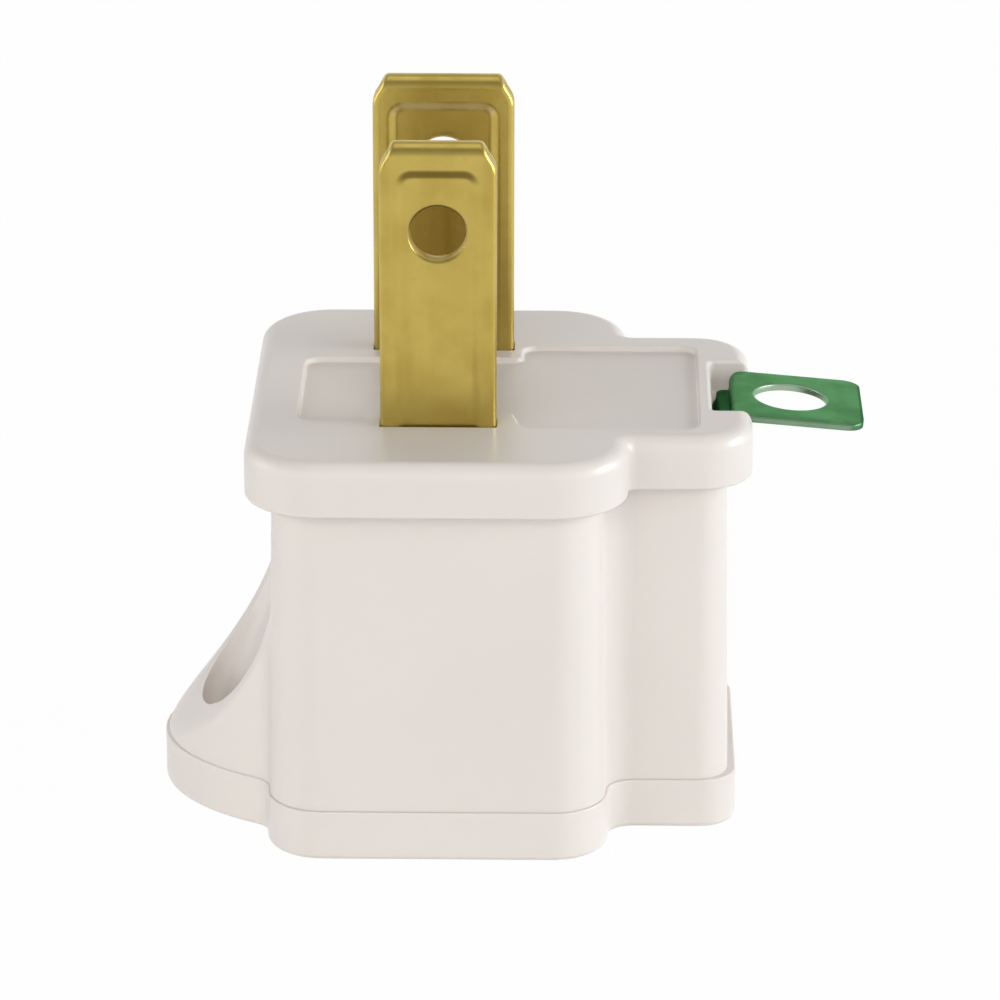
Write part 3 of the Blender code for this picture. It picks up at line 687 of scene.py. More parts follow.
@dataclass(frozen=True)
class RolledBrass:
    """Brass strip with rolled lines, faint tarnish, and painted light on faces that turn downwards, as on
    the step above a coined panel.
    """

    name: str = "rolled_brass"
    colour: Colour = (0.56, 0.43, 0.11)
    tarnish: Colour = (0.42, 0.28, 0.052)
    # painted light on faces that turn downwards: painted shade at this near-black brown, a painted highlight
    # where a finish sets a light colour
    painted_crease_tone: Colour = (0.17, 0.115, 0.026)
    painted_crease_share: float = 0.0
    roughness: float = 0.30

    def material(self, effects: Effects) -> Material:
        """Build the material.

        Args:
            effects: The shared effects.

        Returns:
            The material.
        """
        mat, graph, shader = new_material(self.name)
        lines = effects.place(graph, EffectGroup.BRUSHING, Across=9000.0, Along=260.0)
        clouds = effects.place(graph, EffectGroup.CLOUDING, Scale=420.0, Detail=6.0)["Mask"]
        spots = effects.place(graph, EffectGroup.CLOUDING, Scale=2600.0, Detail=2.0)["Mask"]
        specks = graph.ramp(spots, 0.9, 1.0, 0.0, 0.2)
        age = graph.math("MULTIPLY", clouds, graph.ramp(lines["Streaks"], 0.0, 1.0, 0.45, 0.65))
        aged = graph.math("MAXIMUM", graph.math("MULTIPLY", age, 0.75), specks)
        # painted light: faces that turn downwards take their own colour, painted shade on the hot blade and
        # a painted highlight on the neutral one
        painted_crease = graph.ramp(graph.surface("Normal")["Z"], -0.34, 0.0, self.painted_crease_share, 0.0)
        tone = graph.mix(painted_crease, graph.mix(aged, self.colour, self.tarnish), self.painted_crease_tone)
        worn = graph.ramp(lines["Streaks"], 0.0, 1.0, self.roughness - 0.02, self.roughness + 0.03)
        graph.fill(shader, Base_Color=tone, Metallic=1.0,
                   Roughness=graph.math("ADD", worn, graph.math("MULTIPLY", age, 0.08)),
                   Normal=graph.bump(lines["Lines"], 0.16, 0.012 * MM))
        return mat


@dataclass(frozen=True)
class DyedStrip:
    """Metal with a green dye, with painted shade on the back and end edges and in the neck's fold, the
    metal's own colour round the hole, and a painted highlight on the front edge.
    """

    colour: Colour = (0.125, 0.255, 0.13)
    deep: Colour = (0.09, 0.205, 0.095)
    # the metal's own colour round the hole; on the front edge the same colour is a painted highlight
    bare_metal_and_highlight: Colour = (0.45, 0.56, 0.43)
    # painted shade: the near-black green laid on the back and end edges and in the neck's fold, where they
    # lie in shadow
    edge: Colour = (0.008, 0.04, 0.015)
    tint: Colour = (0.4, 0.8, 0.45)
    fold_shade_height: float = 22.45 * MM
    fold_shade_start: float = 16.6 * MM
    fold_shade_end: float = 16.9 * MM
    back_edge: float = 3.5 * MM
    end_shade_edge: float = 23.27 * MM
    edge_shade_blend: float = 0.15 * MM
    hole_x: float = 19.5 * MM
    hole_radius: float = 2.05 * MM
    roughness: float = 0.3

    def material(self, effects: Effects) -> Material:
        """Build the material.

        Args:
            effects: The shared effects.

        Returns:
            The material.
        """
        mat, graph, shader = new_material("green_dyed_metal")
        clouds = effects.place(graph, EffectGroup.CLOUDING, Scale=500.0, Detail=5.0)["Mask"]
        grain = effects.place(graph, EffectGroup.GRAIN, Scale=6000.0, Swell=0.6)["Height"]
        place = graph.surface("Position")
        # painted shade on the back and end edges, which face away from the light
        back = graph.ramp(place["Y"], self.back_edge, self.back_edge + self.edge_shade_blend, 0.0, 0.8)
        end = graph.ramp(place["X"], self.end_shade_edge, self.end_shade_edge + self.edge_shade_blend, 0.0, 0.7)
        # painted shade in the neck's fold: low down and short of the step, where the neck lies in shadow in
        # the notch
        under = graph.ramp(place["Z"], self.fold_shade_height - 0.05 * MM, self.fold_shade_height + 0.25 * MM, 1.0, 0.0)
        before = graph.ramp(place["X"], self.fold_shade_start, self.fold_shade_end, 0.9, 0.0)
        folded = graph.math("MULTIPLY", under, before)
        painted_shade_mask = graph.math("MAXIMUM", graph.math("MAXIMUM", back, end), folded)
        dye_and_painted_shade = graph.mix(painted_shade_mask, graph.mix(clouds, self.colour, self.deep), self.edge)
        off = graph.math("SUBTRACT", place["X"], self.hole_x)
        square = graph.math("ADD", graph.math("MULTIPLY", off, off),
                            graph.math("MULTIPLY", place["Y"], place["Y"]))
        hole = graph.ramp(graph.math("SQRT", square), self.hole_radius + 0.02 * MM,
                          self.hole_radius + 0.1 * MM, 0.7, 0.0)
        # painted highlight: the front edge is lightened towards the metal's own colour, where light falls on
        # it
        front = graph.ramp(place["Y"], -self.back_edge - 0.2 * MM, -self.back_edge - 0.1 * MM, 0.3, 0.0)
        graph.fill(shader, Base_Color=graph.mix(graph.math("MAXIMUM", hole, front), dye_and_painted_shade, self.bare_metal_and_highlight),
                   Roughness=graph.ramp(clouds, 0.0, 1.0, self.roughness, self.roughness + 0.1),
                   Normal=graph.bump(grain, 0.15, 0.012 * MM), Metallic=0.8,
                   Specular_IOR_Level=0.3, Specular_Tint=self.tint)
        return mat


# ---------------------------------------------------------------- sub-assemblies


@dataclass
class Plan:
    """The adapter's plan and heights, which the housing and the cover share."""

    seam: float = 2.9 * MM
    seam_line: float = 0.005 * MM
    top: float = 23.7 * MM
    flange_bottom: float = 20.6 * MM
    ceiling: float = 20.9 * MM
    left: float = 9.37 * MM
    step: float = 9.3 * MM
    end: float = 16.17 * MM
    half_depth: float = 12.15 * MM
    end_half_depth: float = 7.45 * MM
    wall: float = 1.35 * MM
    corner: float = 3.0 * MM
    end_corner: float = 1.9 * MM
    step_fillet: float = 1.6 * MM
    draft: float = 0.3 * MM
    blade_y: float = 6.35 * MM
    hot_width: float = 6.35 * MM
    neutral_width: float = 7.94 * MM
    blade_thickness: float = 1.5 * MM
    grip_reach: float = 15.67 * MM
    grip_length: float = 13.8 * MM
    grip_width: float = 9.5 * MM
    grip_root_fillet: float = 1.7 * MM
    grip_points: int = 96

    def blades(self) -> list[tuple[str, int, float]]:
        """The blades as (name, side, width)."""
        return [("hot", -1, self.hot_width), ("neutral", 1, self.neutral_width)]

    def body(self, left: float = 0.0, end: float = 0.0) -> list[Corner]:
        """Corners of the T-shaped body at the seam.

        Args:
            left: How much further the left side stands out.
            end: How much further the lug end stands out.

        Returns:
            The corners.
        """
        x0 = -(self.left + left)
        x1 = self.end + end
        deep, narrow = self.half_depth, self.end_half_depth
        return [(x0, -deep, self.corner), (self.step, -deep, self.corner),
                (self.step, -narrow, self.step_fillet), (x1, -narrow, self.end_corner),
                (x1, narrow, self.end_corner), (self.step, narrow, self.step_fillet),
                (self.step, deep, self.corner), (x0, deep, self.corner)]

    def grip(self, wall_x: float, grow: float = 0.0) -> Path:
        """The finger grip's outline from the wall behind it, round the nose, to the wall in front.

        At both roots a fillet touches the wall and the ellipse. Its angle on the ellipse is found by
        halving, as the place where the ellipse offset by the fillet's radius is that far from the wall.

        Args:
            wall_x: Where the wall stands.
            grow: How far the outline stands out from the grip's own.

        Returns:
            The points.
        """
        centre = self.grip_length - self.grip_reach
        length, width = self.grip_length + grow, self.grip_width + grow
        radius = self.grip_root_fillet - grow
        early, late = QUARTER, math.pi
        root, normal, middle = late, Vector((-1.0, 0.0)), Vector((0.0, 0.0))
        for _ in range(50):
            root = (early + late) / 2
            normal = Vector((width * math.cos(root), length * math.sin(root))).normalized()
            middle = Vector((centre + length * math.cos(root), width * math.sin(root))) + normal * radius
            if middle.x > wall_x - radius:
                early = root
            else:
                late = root
        back = arc_points((middle.x, middle.y), radius, 0.0, math.atan2(-normal.y, -normal.x), 12)
        points = list(back)
        for i in range(1, self.grip_points):
            angle = root + (2 * math.pi - 2 * root) * i / self.grip_points
            points.append((centre + length * math.cos(angle), width * math.sin(angle)))
        return points + [(x, -y) for x, y in reversed(back)]

    def wall_x(self, height: float) -> float:
        """X of the drafted left wall at a height."""
        share = (height - self.seam) / (self.flange_bottom - self.seam)
        return -(self.left - self.draft * share)


@dataclass
class FingerGrip:
    """The dished ramp that a finger pulls on."""

    plan: Plan
    top_height: float = 13.3 * MM
    bend_height: float = 6.0 * MM
    nose_height: float = 3.1 * MM
    bend_overhang: float = 1.13 * MM
    overrun: float = 1.0 * MM
    dish_nose: float = 13.67 * MM
    dish_centre: float = 9.47 * MM
    dish_half_width: float = 6.4 * MM
    dish_depth: float = 4.6 * MM
    dish_power: float = 0.55
    rim_blend: float = 0.6 * MM
    edge_radius: float = 0.45 * MM
    edge_steps: int = 6
    nose_reach: float = 1.5 * MM
    nose_drop: float = 0.7 * MM
    nose_start: float = 10.5 * MM
    nose_length: float = 4.8 * MM
    nose_power: float = 1.5
    slope_probe: float = 0.05 * MM
    inside: float = -8.25 * MM
    root_sink: float = 0.006 * MM
    spine: float = 0.82
    spans: int = 30

    def ramp(self, x: float) -> float:
        """Height of the ramp at x, carried on straight inside the wall."""
        start = self.plan.wall_x(self.top_height)
        bend = -(self.plan.left + self.bend_overhang)
        if x > start:
            return self.top_height + (x - start) * (self.top_height - self.bend_height) / (start - bend)
        end = -(self.plan.grip_reach + self.overrun)
        square = start - 2 * bend + end
        linear = 2 * (bend - start)
        t = -(linear + math.sqrt(linear * linear - 4 * square * (start - x))) / (2 * square)
        upper = (1 - t) ** 2 * self.top_height + 2 * t * (1 - t) * self.bend_height
        return upper + t * t * self.nose_height

    def dished(self, x: float, y: float) -> float:
        """Height of the grip's top at a point, with the fingertip dish blended in."""
        high, low = self.ramp(-self.dish_centre), self.ramp(-self.dish_nose)
        reach = self.dish_nose - self.dish_centre
        across = 1 - ((x + self.dish_centre) / reach) ** 2 - (y / self.dish_half_width) ** 2
        height = self.ramp(x)
        if across <= 0:
            return height
        chord = high + (low - high) * (-x - self.dish_centre) / reach
        scoop = chord - self.dish_depth * across ** self.dish_power
        mixed = max(0.0, self.rim_blend - abs(height - scoop)) / self.rim_blend
        return min(height, scoop) - mixed * mixed * self.rim_blend / 4

    def footprint(self, height: float) -> Path:
        """The grip's outline at a height, closed inside the wall."""
        outline = self.plan.grip(self.plan.wall_x(height) + self.root_sink)
        return [(self.inside, outline[0][1])] + outline + [(self.inside, outline[-1][1])]

    def edge_row(self, t: float, low: float, lower: Path, wall: Path) -> list[tuple[float, float, float]]:
        """One row of the rounded edge between the grip's flank and its top.

        The edge is a curve that touches the flank below and the dished top above. Towards the nose it
        grows wider, from edge_radius to nose_reach and nose_drop.

        Args:
            t: Place on the curve, from 0 at the flank to 1 at the top.
            low: Height of the grip's foot.
            lower: Footprint at the foot.
            wall: Footprint at the top.

        Returns:
            The points.
        """
        row = []
        for i, high in enumerate(wall):
            share = min(1.0, max(0.0, (-high[0] - self.nose_start) / self.nose_length)) ** self.nose_power
            reach = self.edge_radius + (self.nose_reach - self.edge_radius) * share
            drop = self.edge_radius + (self.nose_drop - self.edge_radius) * share
            along = heading(wall, i, closed=True)
            inward = Vector((-along.y, along.x))
            end = Vector(high) + inward * reach
            ahead = end + inward * self.slope_probe
            top = self.dished(end.x, end.y)
            rise = (self.dished(ahead.x, ahead.y) - top) / self.slope_probe
            corner = top - rise * reach
            foot = Vector(lower[i])
            skin = foot + (Vector(high) - foot) * (corner - low) / (self.top_height - low)
            spot = skin + inward * reach * t * t
            level = (1 - t) ** 2 * (corner - drop) + 2 * t * (1 - t) * corner + t * t * top
            row.append((spot.x, spot.y, level))
        return row

    def build(self) -> Object:
        """Build the solid grip, with its root inside the body's wall.

        Returns:
            The grip.
        """
        low = self.plan.seam - 1.0 * MM
        lower, wall = self.footprint(low), self.footprint(self.top_height)
        rows = [[(x, y, low) for x, y in lower]]
        for k in range(self.edge_steps + 1):
            rows.append(self.edge_row(k / self.edge_steps, low, lower, wall))
        inner = rows[-1]
        for k in range(1, self.spans + 1):
            t = k / self.spans
            row = []
            for x, y, _ in inner:
                spine_x = self.inside + (x - self.inside) * self.spine
                px, py = x + (spine_x - x) * t, y * (1 - t)
                row.append((px, py, self.dished(px, py)))
            rows.append(row)
        return skinned("grip", rows, weld=0.001 * MM)


@dataclass
class Housing:
    """The moulded shell: drafted walls, flange, finger grip, recess, notch and chambers."""

    plan: Plan
    flange_overhang: float = 1.1 * MM
    flange_left: float = 0.05 * MM
    flange_radius: float = 0.85 * MM
    flange_low_radius: float = 0.2 * MM
    under_fillet: float = 0.3 * MM
    seam_radius: float = 0.02 * MM
    rib: float = 1.6 * MM
    cross_rib: float = 1.2 * MM
    chamber_radius: float = 1.5 * MM
    chamber_foot: float = 2.0 * MM
    recess_depth: float = 0.3 * MM
    recess_radius: float = 0.9 * MM
    recess_bend: float = 0.45 * MM
    recess_edge: float = 0.14 * MM
    recess_left: float = -7.75 * MM
    recess_front: float = -6.15 * MM
    recess_back: float = 4.25 * MM
    recess_blade_gap: float = 0.9 * MM
    recess_start_gap: float = 0.6 * MM
    recess_end_gap: float = 0.53 * MM
    recess_notch_gap: float = 0.7 * MM
    panel_front: float = -7.1 * MM
    panel_back: float = 6.4 * MM
    notch_wall: float = 15.05 * MM
    notch_half: float = 4.05 * MM
    notch_depth: float = 1.95 * MM
    notch_corner: float = 0.3 * MM
    notch_flare: float = 0.35 * MM
    notch_fillet: float = 0.2 * MM
    notch_rim: float = 0.25 * MM
    past_end: float = 1.0 * MM
    strip_half: float = 2.3 * MM
    strip_inset: float = 0.6 * MM
    strip_flare: float = 0.25 * MM
    slot_clearance: float = 0.025 * MM
    slot_radius: float = 0.12 * MM
    slot_rim: float = 0.05 * MM
    slot_overlap: float = 1.0 * MM
    sill_x: float = 15.75 * MM
    sill_top: float = 4.65 * MM
    earth_right: float = 15.0 * MM

    def skin(self) -> Object:
        """The outer skin from the seam to the flange face."""
        plan = self.plan
        body, under = plan.body(), plan.flange_bottom
        rings = end_rings(body, plan.seam + plan.seam_line / 2, plan.top, self.seam_radius, 3)
        for out, down in rounding(self.under_fillet, 5):
            rings.append((rounded(grown(body, out - plan.draft)), under - down))
        flange = grown(plan.body(left=self.flange_left), self.flange_overhang)
        rings += end_rings(flange, under, plan.top, self.flange_low_radius, 4)
        rings += reversed(end_rings(flange, plan.top, under, self.flange_radius, 8))
        return lofted("housing_shell", rings)

    def recess(self) -> list[Corner]:
        """Outline of the label recess, with its neck between the blades."""
        plan = self.plan
        radius, bend = self.recess_radius, self.recess_bend
        neck = plan.blade_y - plan.blade_thickness / 2 - self.recess_blade_gap
        neck_start = -(plan.hot_width / 2 + self.recess_start_gap)
        neck_end = plan.neutral_width / 2 + self.recess_end_gap
        right = self.notch_wall - self.recess_notch_gap
        return [(self.recess_left, self.recess_front, radius), (neck_start - bend, self.recess_front, bend),
                (neck_start, -neck, bend), (neck_end - bend, -neck, bend),
                (neck_end, self.panel_front, radius), (right, self.panel_front, radius),
                (right, self.panel_back, radius), (neck_end, self.panel_back, radius),
                (neck_end, self.recess_back, bend), (self.recess_left, self.recess_back, radius)]

    def flared(self, wall_x: float, half: float, end_x: float, flare: float) -> list[Corner]:
        """Outline of a cut that opens at the lug end, with its outer corners rounded over.

        Args:
            wall_x: X of the cut's inner wall.
            half: Half the cut's width.
            end_x: X of the face that it opens in.
            flare: Radius of the rounded outer corners.

        Returns:
            The corners, counter-clockwise.
        """
        side = [(end_x + level, half + out) for out, level in rim(flare, self.past_end, 6, POCKET_ANGLE)]
        front = [(x, -y, 0.0) for x, y in side]
        back = [(x, y, 0.0) for x, y in reversed(side)]
        return [(wall_x, -half, self.notch_corner)] + front + back + [(wall_x, half, self.notch_corner)]

    def chambers(self, shell: Object, low: float) -> None:
        """Hollow the shell from below, behind each blade and behind the lug end.

        Args:
            shell: The housing so far.
            low: Height that the cutters start from.
        """
        plan = self.plan
        for name, side, _ in plan.blades():
            near, far = sorted((side * self.rib / 2, side * (plan.half_depth - plan.wall)))
            room = rectangle(-(plan.left - plan.wall), plan.step - plan.wall, near, far,
                             self.chamber_radius)
            combine(shell, prism(name + "_chamber", room, low, plan.ceiling))
        depth = plan.end_half_depth - plan.wall
        room = rectangle(plan.step - plan.wall + self.cross_rib, self.earth_right, -depth, depth,
                         self.chamber_radius)
        combine(shell, prism("earth_chamber", room, low, plan.ceiling))

    def strip_slot(self, shell: Object, low: float, end_x: float) -> None:
        """Cut the slot of the green strip's leg, open at the end from the sill up to the notch.

        Args:
            shell: The housing so far.
            low: Height that the cutters start from.
            end_x: X of the flange's end face.
        """
        plan, half, edge = self.plan, self.strip_half, self.strip_flare
        left = self.earth_right - self.strip_inset
        mouth = plan.top - self.notch_depth + 0.1 * MM
        under = plan.flange_bottom - self.under_fillet - edge
        foot = rectangle(left, self.sill_x, -half, half, 0.0)
        combine(shell, prism("strip_slot_foot", foot, low, self.sill_top + edge))
        outer = self.flared(left, half, plan.end, edge)
        combine(shell, prism("strip_slot", outer, self.sill_top, under))
        neck = rectangle(left, end_x + self.past_end, -half, half, 0.0)
        combine(shell, prism("strip_slot_neck", neck, under - edge, mouth))

    def build(self) -> Object:
        """Build the housing with all its cuts.

        Returns:
            The finished piece.
        """
        plan = self.plan
        shell = self.skin()
        combine(shell, FingerGrip(plan).build(), "UNION")
        below = rectangle(-30 * MM, 30 * MM, -30 * MM, 30 * MM, 0.0)
        combine(shell, prism("seam_trim", below, -5 * MM, plan.seam + plan.seam_line / 2))
        edge = self.recess_edge
        combine(shell, pocket("recess", self.recess(), plan.top - self.recess_depth, plan.top, edge, edge))
        end_x = plan.end + self.flange_overhang
        notch = self.flared(self.notch_wall, self.notch_half, end_x, self.notch_flare)
        combine(shell, pocket("notch", notch, plan.top - self.notch_depth, plan.top, self.notch_fillet,
                              self.notch_rim))
        low = plan.seam - self.chamber_foot
        self.chambers(shell, low)
        half_y = plan.blade_thickness / 2 + self.slot_clearance
        for name, side, width in plan.blades():
            half_x, middle = width / 2 + self.slot_clearance, side * plan.blade_y
            hole = rectangle(-half_x, half_x, middle - half_y, middle + half_y, self.slot_radius)
            foot = plan.ceiling - self.slot_overlap
            slot = pocket(name + "_slot", hole, foot, plan.top, 0.0, self.slot_rim)
            combine(shell, slot)
        self.strip_slot(shell, low, end_x)
        return settled(shell)


@dataclass
class ReceptacleCover:
    """The plate that closes the housing from below, with its slots and earth opening."""

    plan: Plan
    proud: float = 0.15 * MM
    end_proud: float = 0.3 * MM
    edge_radius: float = 0.35 * MM
    seam_radius: float = 0.08 * MM
    lip_near: float = 1.1 * MM
    lip_gap: float = 0.3 * MM
    lip_left: float = -7.65 * MM
    lip_right: float = 7.6 * MM
    lip_height: float = 1.05 * MM
    lip_radius: float = 1.2 * MM
    lip_wall: float = 0.8 * MM
    lip_inner_radius: float = 0.6 * MM
    slot_width: float = 2.0 * MM
    slot_extra: float = 0.9 * MM
    slot_radius: float = 0.25 * MM
    earth_x: float = 11.9 * MM
    earth_radius: float = 2.65 * MM
    earth_corner: float = 0.3 * MM
    lead_in: float = 0.35 * MM

    def outline(self) -> list[Corner]:
        """Corners of the cover's plan, finger grip included."""
        plan = self.plan
        corners = grown(plan.body(end=self.end_proud), self.proud)
        return corners + [(x, y, 0.0) for x, y in plan.grip(corners[0][0], self.proud)]

    def opening(self, name: str, corners: Sequence[Corner]) -> Object:
        """A cutter through the plate with a rounded lead-in on the outer face.

        Args:
            name: Name of the cutter.
            corners: Outline of the opening.

        Returns:
            The cutter.
        """
        cutter = pocket(name, corners, -self.plan.seam - 2.0 * MM, 0.0, 0.0, self.lead_in, 6)
        cutter.data.transform(Matrix.Diagonal((1.0, 1.0, -1.0, 1.0)))
        cutter.data.flip_normals()
        return cutter

    def lips(self, cover: Object, high: float) -> None:
        """Add the two ring-shaped lips that stand up into the chambers.

        Args:
            cover: The cover so far.
            high: Height of the plate's upper face.
        """
        plan, wall = self.plan, self.lip_wall
        for name, side, _ in plan.blades():
            ends = (side * self.lip_near, side * (plan.half_depth - plan.wall - self.lip_gap))
            near, far = sorted(ends)
            outer = rectangle(self.lip_left, self.lip_right, near, far, self.lip_radius)
            combine(cover, prism(name + "_lip", outer, plan.seam / 2, plan.seam + self.lip_height), "UNION")
            core = rectangle(self.lip_left + wall, self.lip_right - wall, near + wall, far - wall,
                             self.lip_inner_radius)
            combine(cover, prism(name + "_lip_core", core, high, plan.seam + 3.0 * MM))

    def build(self) -> Object:
        """Build the cover.

        Returns:
            The finished piece.
        """
        plan = self.plan
        outline = self.outline()
        high = plan.seam - plan.seam_line / 2
        rings = end_rings(outline, 0.0, high, self.edge_radius, 6)
        rings += reversed(end_rings(outline, high, 0.0, self.seam_radius, 4))
        cover = lofted("cover_plate", rings)
        self.lips(cover, high)
        half_y = self.slot_width / 2
        for name, side, width in plan.blades():
            half_x, middle = (width + self.slot_extra) / 2, side * plan.blade_y
            hole = rectangle(-half_x, half_x, middle - half_y, middle + half_y, self.slot_radius)
            combine(cover, self.opening(name + "_opening", hole))
        radius, flat = self.earth_radius, self.earth_x - self.earth_radius
        shape: list[Corner] = [(flat, radius, self.earth_corner), (flat, -radius, self.earth_corner)]
        shape += [(x, y, 0.0) for x, y in arc_points((self.earth_x, 0.0), radius, -QUARTER, QUARTER, 40)]
        combine(cover, self.opening("earth_opening", shape))
        return settled(cover)


@dataclass
class FoldedContact:
    """A brass strip folded over at the blade tip, its ends opened into gripping leaves."""

    name: str
    node: str
    side: int
    width: float
    plan: Plan
    thickness: float = 0.74 * MM
    tip: float = 39.8 * MM
    chamfer_width: float = 0.87 * MM
    chamfer_height: float = 1.35 * MM
    edge_radius: float = 0.3 * MM
    inner_edge: float = 0.12 * MM
    shoulder: float = 0.4 * MM
    panel_depth: float = 0.18 * MM
    panel_margin: float = 1.1 * MM
    panel_top: float = 1.7 * MM
    panel_radius: float = 0.7 * MM
    panel_slope: float = 0.62 * MM
    panel_foot: float = 3.0 * MM
    hole_radius: float = 1.55 * MM
    hole_height: float = 34.7 * MM
    hole_rim: float = 0.16 * MM
    leaf: float = 1.7 * MM
    leaf_bend: float = 1.8 * MM
    throat: float = 1.0 * MM
    mouth: float = 1.8 * MM
    throat_height: float = 6.8 * MM
    bottom: float = 3.1 * MM
    spread_drop: float = 2.3 * MM
    spread_bend: float = 0.4 * MM
    join_drop: float = 0.9 * MM
    row_step: float = 0.35 * MM
    fine_step: float = 0.06 * MM

    def half_width(self, height: float) -> float:
        """Half the strip's width at a height, narrower along the tip's chamfers."""
        above = height - (self.tip - self.chamfer_height)
        slope = self.chamfer_width / self.chamfer_height
        if above < -self.shoulder:
            return self.width / 2
        if above < self.shoulder:
            return self.width / 2 - slope * (above + self.shoulder) ** 2 / (4 * self.shoulder)
        return self.width / 2 - slope * above

    def centre_line(self) -> Path:
        """The strip's middle from one leaf's end over the fold to the other's."""
        fold = (self.plan.blade_thickness - self.thickness) / 2
        nose = self.tip - self.plan.blade_thickness / 2
        spread = self.plan.ceiling - self.spread_drop
        half: list[Corner] = [(self.mouth, self.bottom, 0.0),
                              (self.throat, self.throat_height, self.leaf_bend),
                              (self.leaf, (self.throat_height + spread) / 2, self.leaf_bend),
                              (self.leaf, spread, self.spread_bend),
                              (fold, self.plan.ceiling - self.join_drop, self.spread_bend),
                              (fold, nose, 0.0)]
        right = rounded(half, 6, closed=False)[:-1]
        height = right[-1][1] + 0.4 * MM
        panel_end = self.tip - self.panel_top - self.panel_slope
        while height < nose - 0.03 * MM:
            right.append((fold, height))
            height += self.fine_step if height > panel_end - 0.3 * MM else self.row_step
        turn = arc_points((0.0, nose), fold, 0.0, math.pi, 20)
        return right + turn + [(-y, z) for y, z in reversed(right)]

    def panel(self, x: float, height: float) -> float:
        """How deep the coined panel is pressed at a point, as a share of its depth."""
        half = self.width / 2 - self.panel_margin - self.panel_radius
        top = self.tip - self.panel_top - self.panel_radius
        outside = math.hypot(max(0.0, abs(x) - half), max(0.0, height - top)) - self.panel_radius
        t = min(1.0, max(0.0, 0.5 - outside / self.panel_slope))
        return t * t * (3 - 2 * t)

    def columns(self, half: float) -> list[Point]:
        """Stations across the strip as (x, inset of the surface), rounded at both edges.

        Args:
            half: Half the strip's width there.

        Returns:
            The stations from one edge to the other, closest over the panel's slope.
        """
        near = [0.36 + 0.06 * k for k in range(20)] + [1.6, 1.8, 2.1]
        left = [(-half + out, inset) for out, inset in rounding(self.edge_radius, 4)]
        left += [(-half + d * MM, 0.0) for d in near]
        steps, reach = 8, half - near[-1] * MM
        middle = [(-reach + 2 * reach * i / steps, 0.0) for i in range(1, steps)]
        return left + middle + [(-x, inset) for x, inset in reversed(left)]

    def build(self) -> Object:
        """Build the contact.

        Returns:
            The finished piece.
        """
        line = self.centre_line()
        rows = []
        middle = self.side * self.plan.blade_y
        for i, (y, z) in enumerate(line):
            along = heading(line, i)
            normal = Vector((along.y, -along.x))
            stretch = 1.0
            if 0 < i < len(line) - 1:
                into = Vector((y - line[i - 1][0], z - line[i - 1][1])).normalized()
                out = Vector((line[i + 1][0] - y, line[i + 1][1] - z)).normalized()
                stretch = 1 / math.sqrt(max(0.5, (1 + into.dot(out)) / 2))
            stations = self.columns(self.half_width(z))
            spots = []
            for x, inset in stations:
                depth = self.thickness / 2 - inset
                if z > self.plan.top - self.panel_foot:
                    depth -= self.panel_depth * self.panel(x, z)
                spots.append((x, Vector((y, z)) + normal * depth * stretch))
            for x, inset in reversed(stations):
                depth = self.thickness / 2 - min(inset, self.inner_edge)
                spots.append((x, Vector((y, z)) - normal * depth * stretch))
            rows.append([(x, middle + spot.x, spot.y) for x, spot in spots])
        contact = skinned(self.name, rows)
        edge = rim(self.hole_rim, 0.08 * MM, 5, BORE_ANGLE)
        hole = bore(self.name + "_hole", self.hole_radius, self.plan.blade_thickness / 2 - self.panel_depth,
                    edge, 64, lambda a, b, depth: (a, middle + depth, self.hole_height + b))
        combine(contact, hole)
        return settled(contact, 40.0)


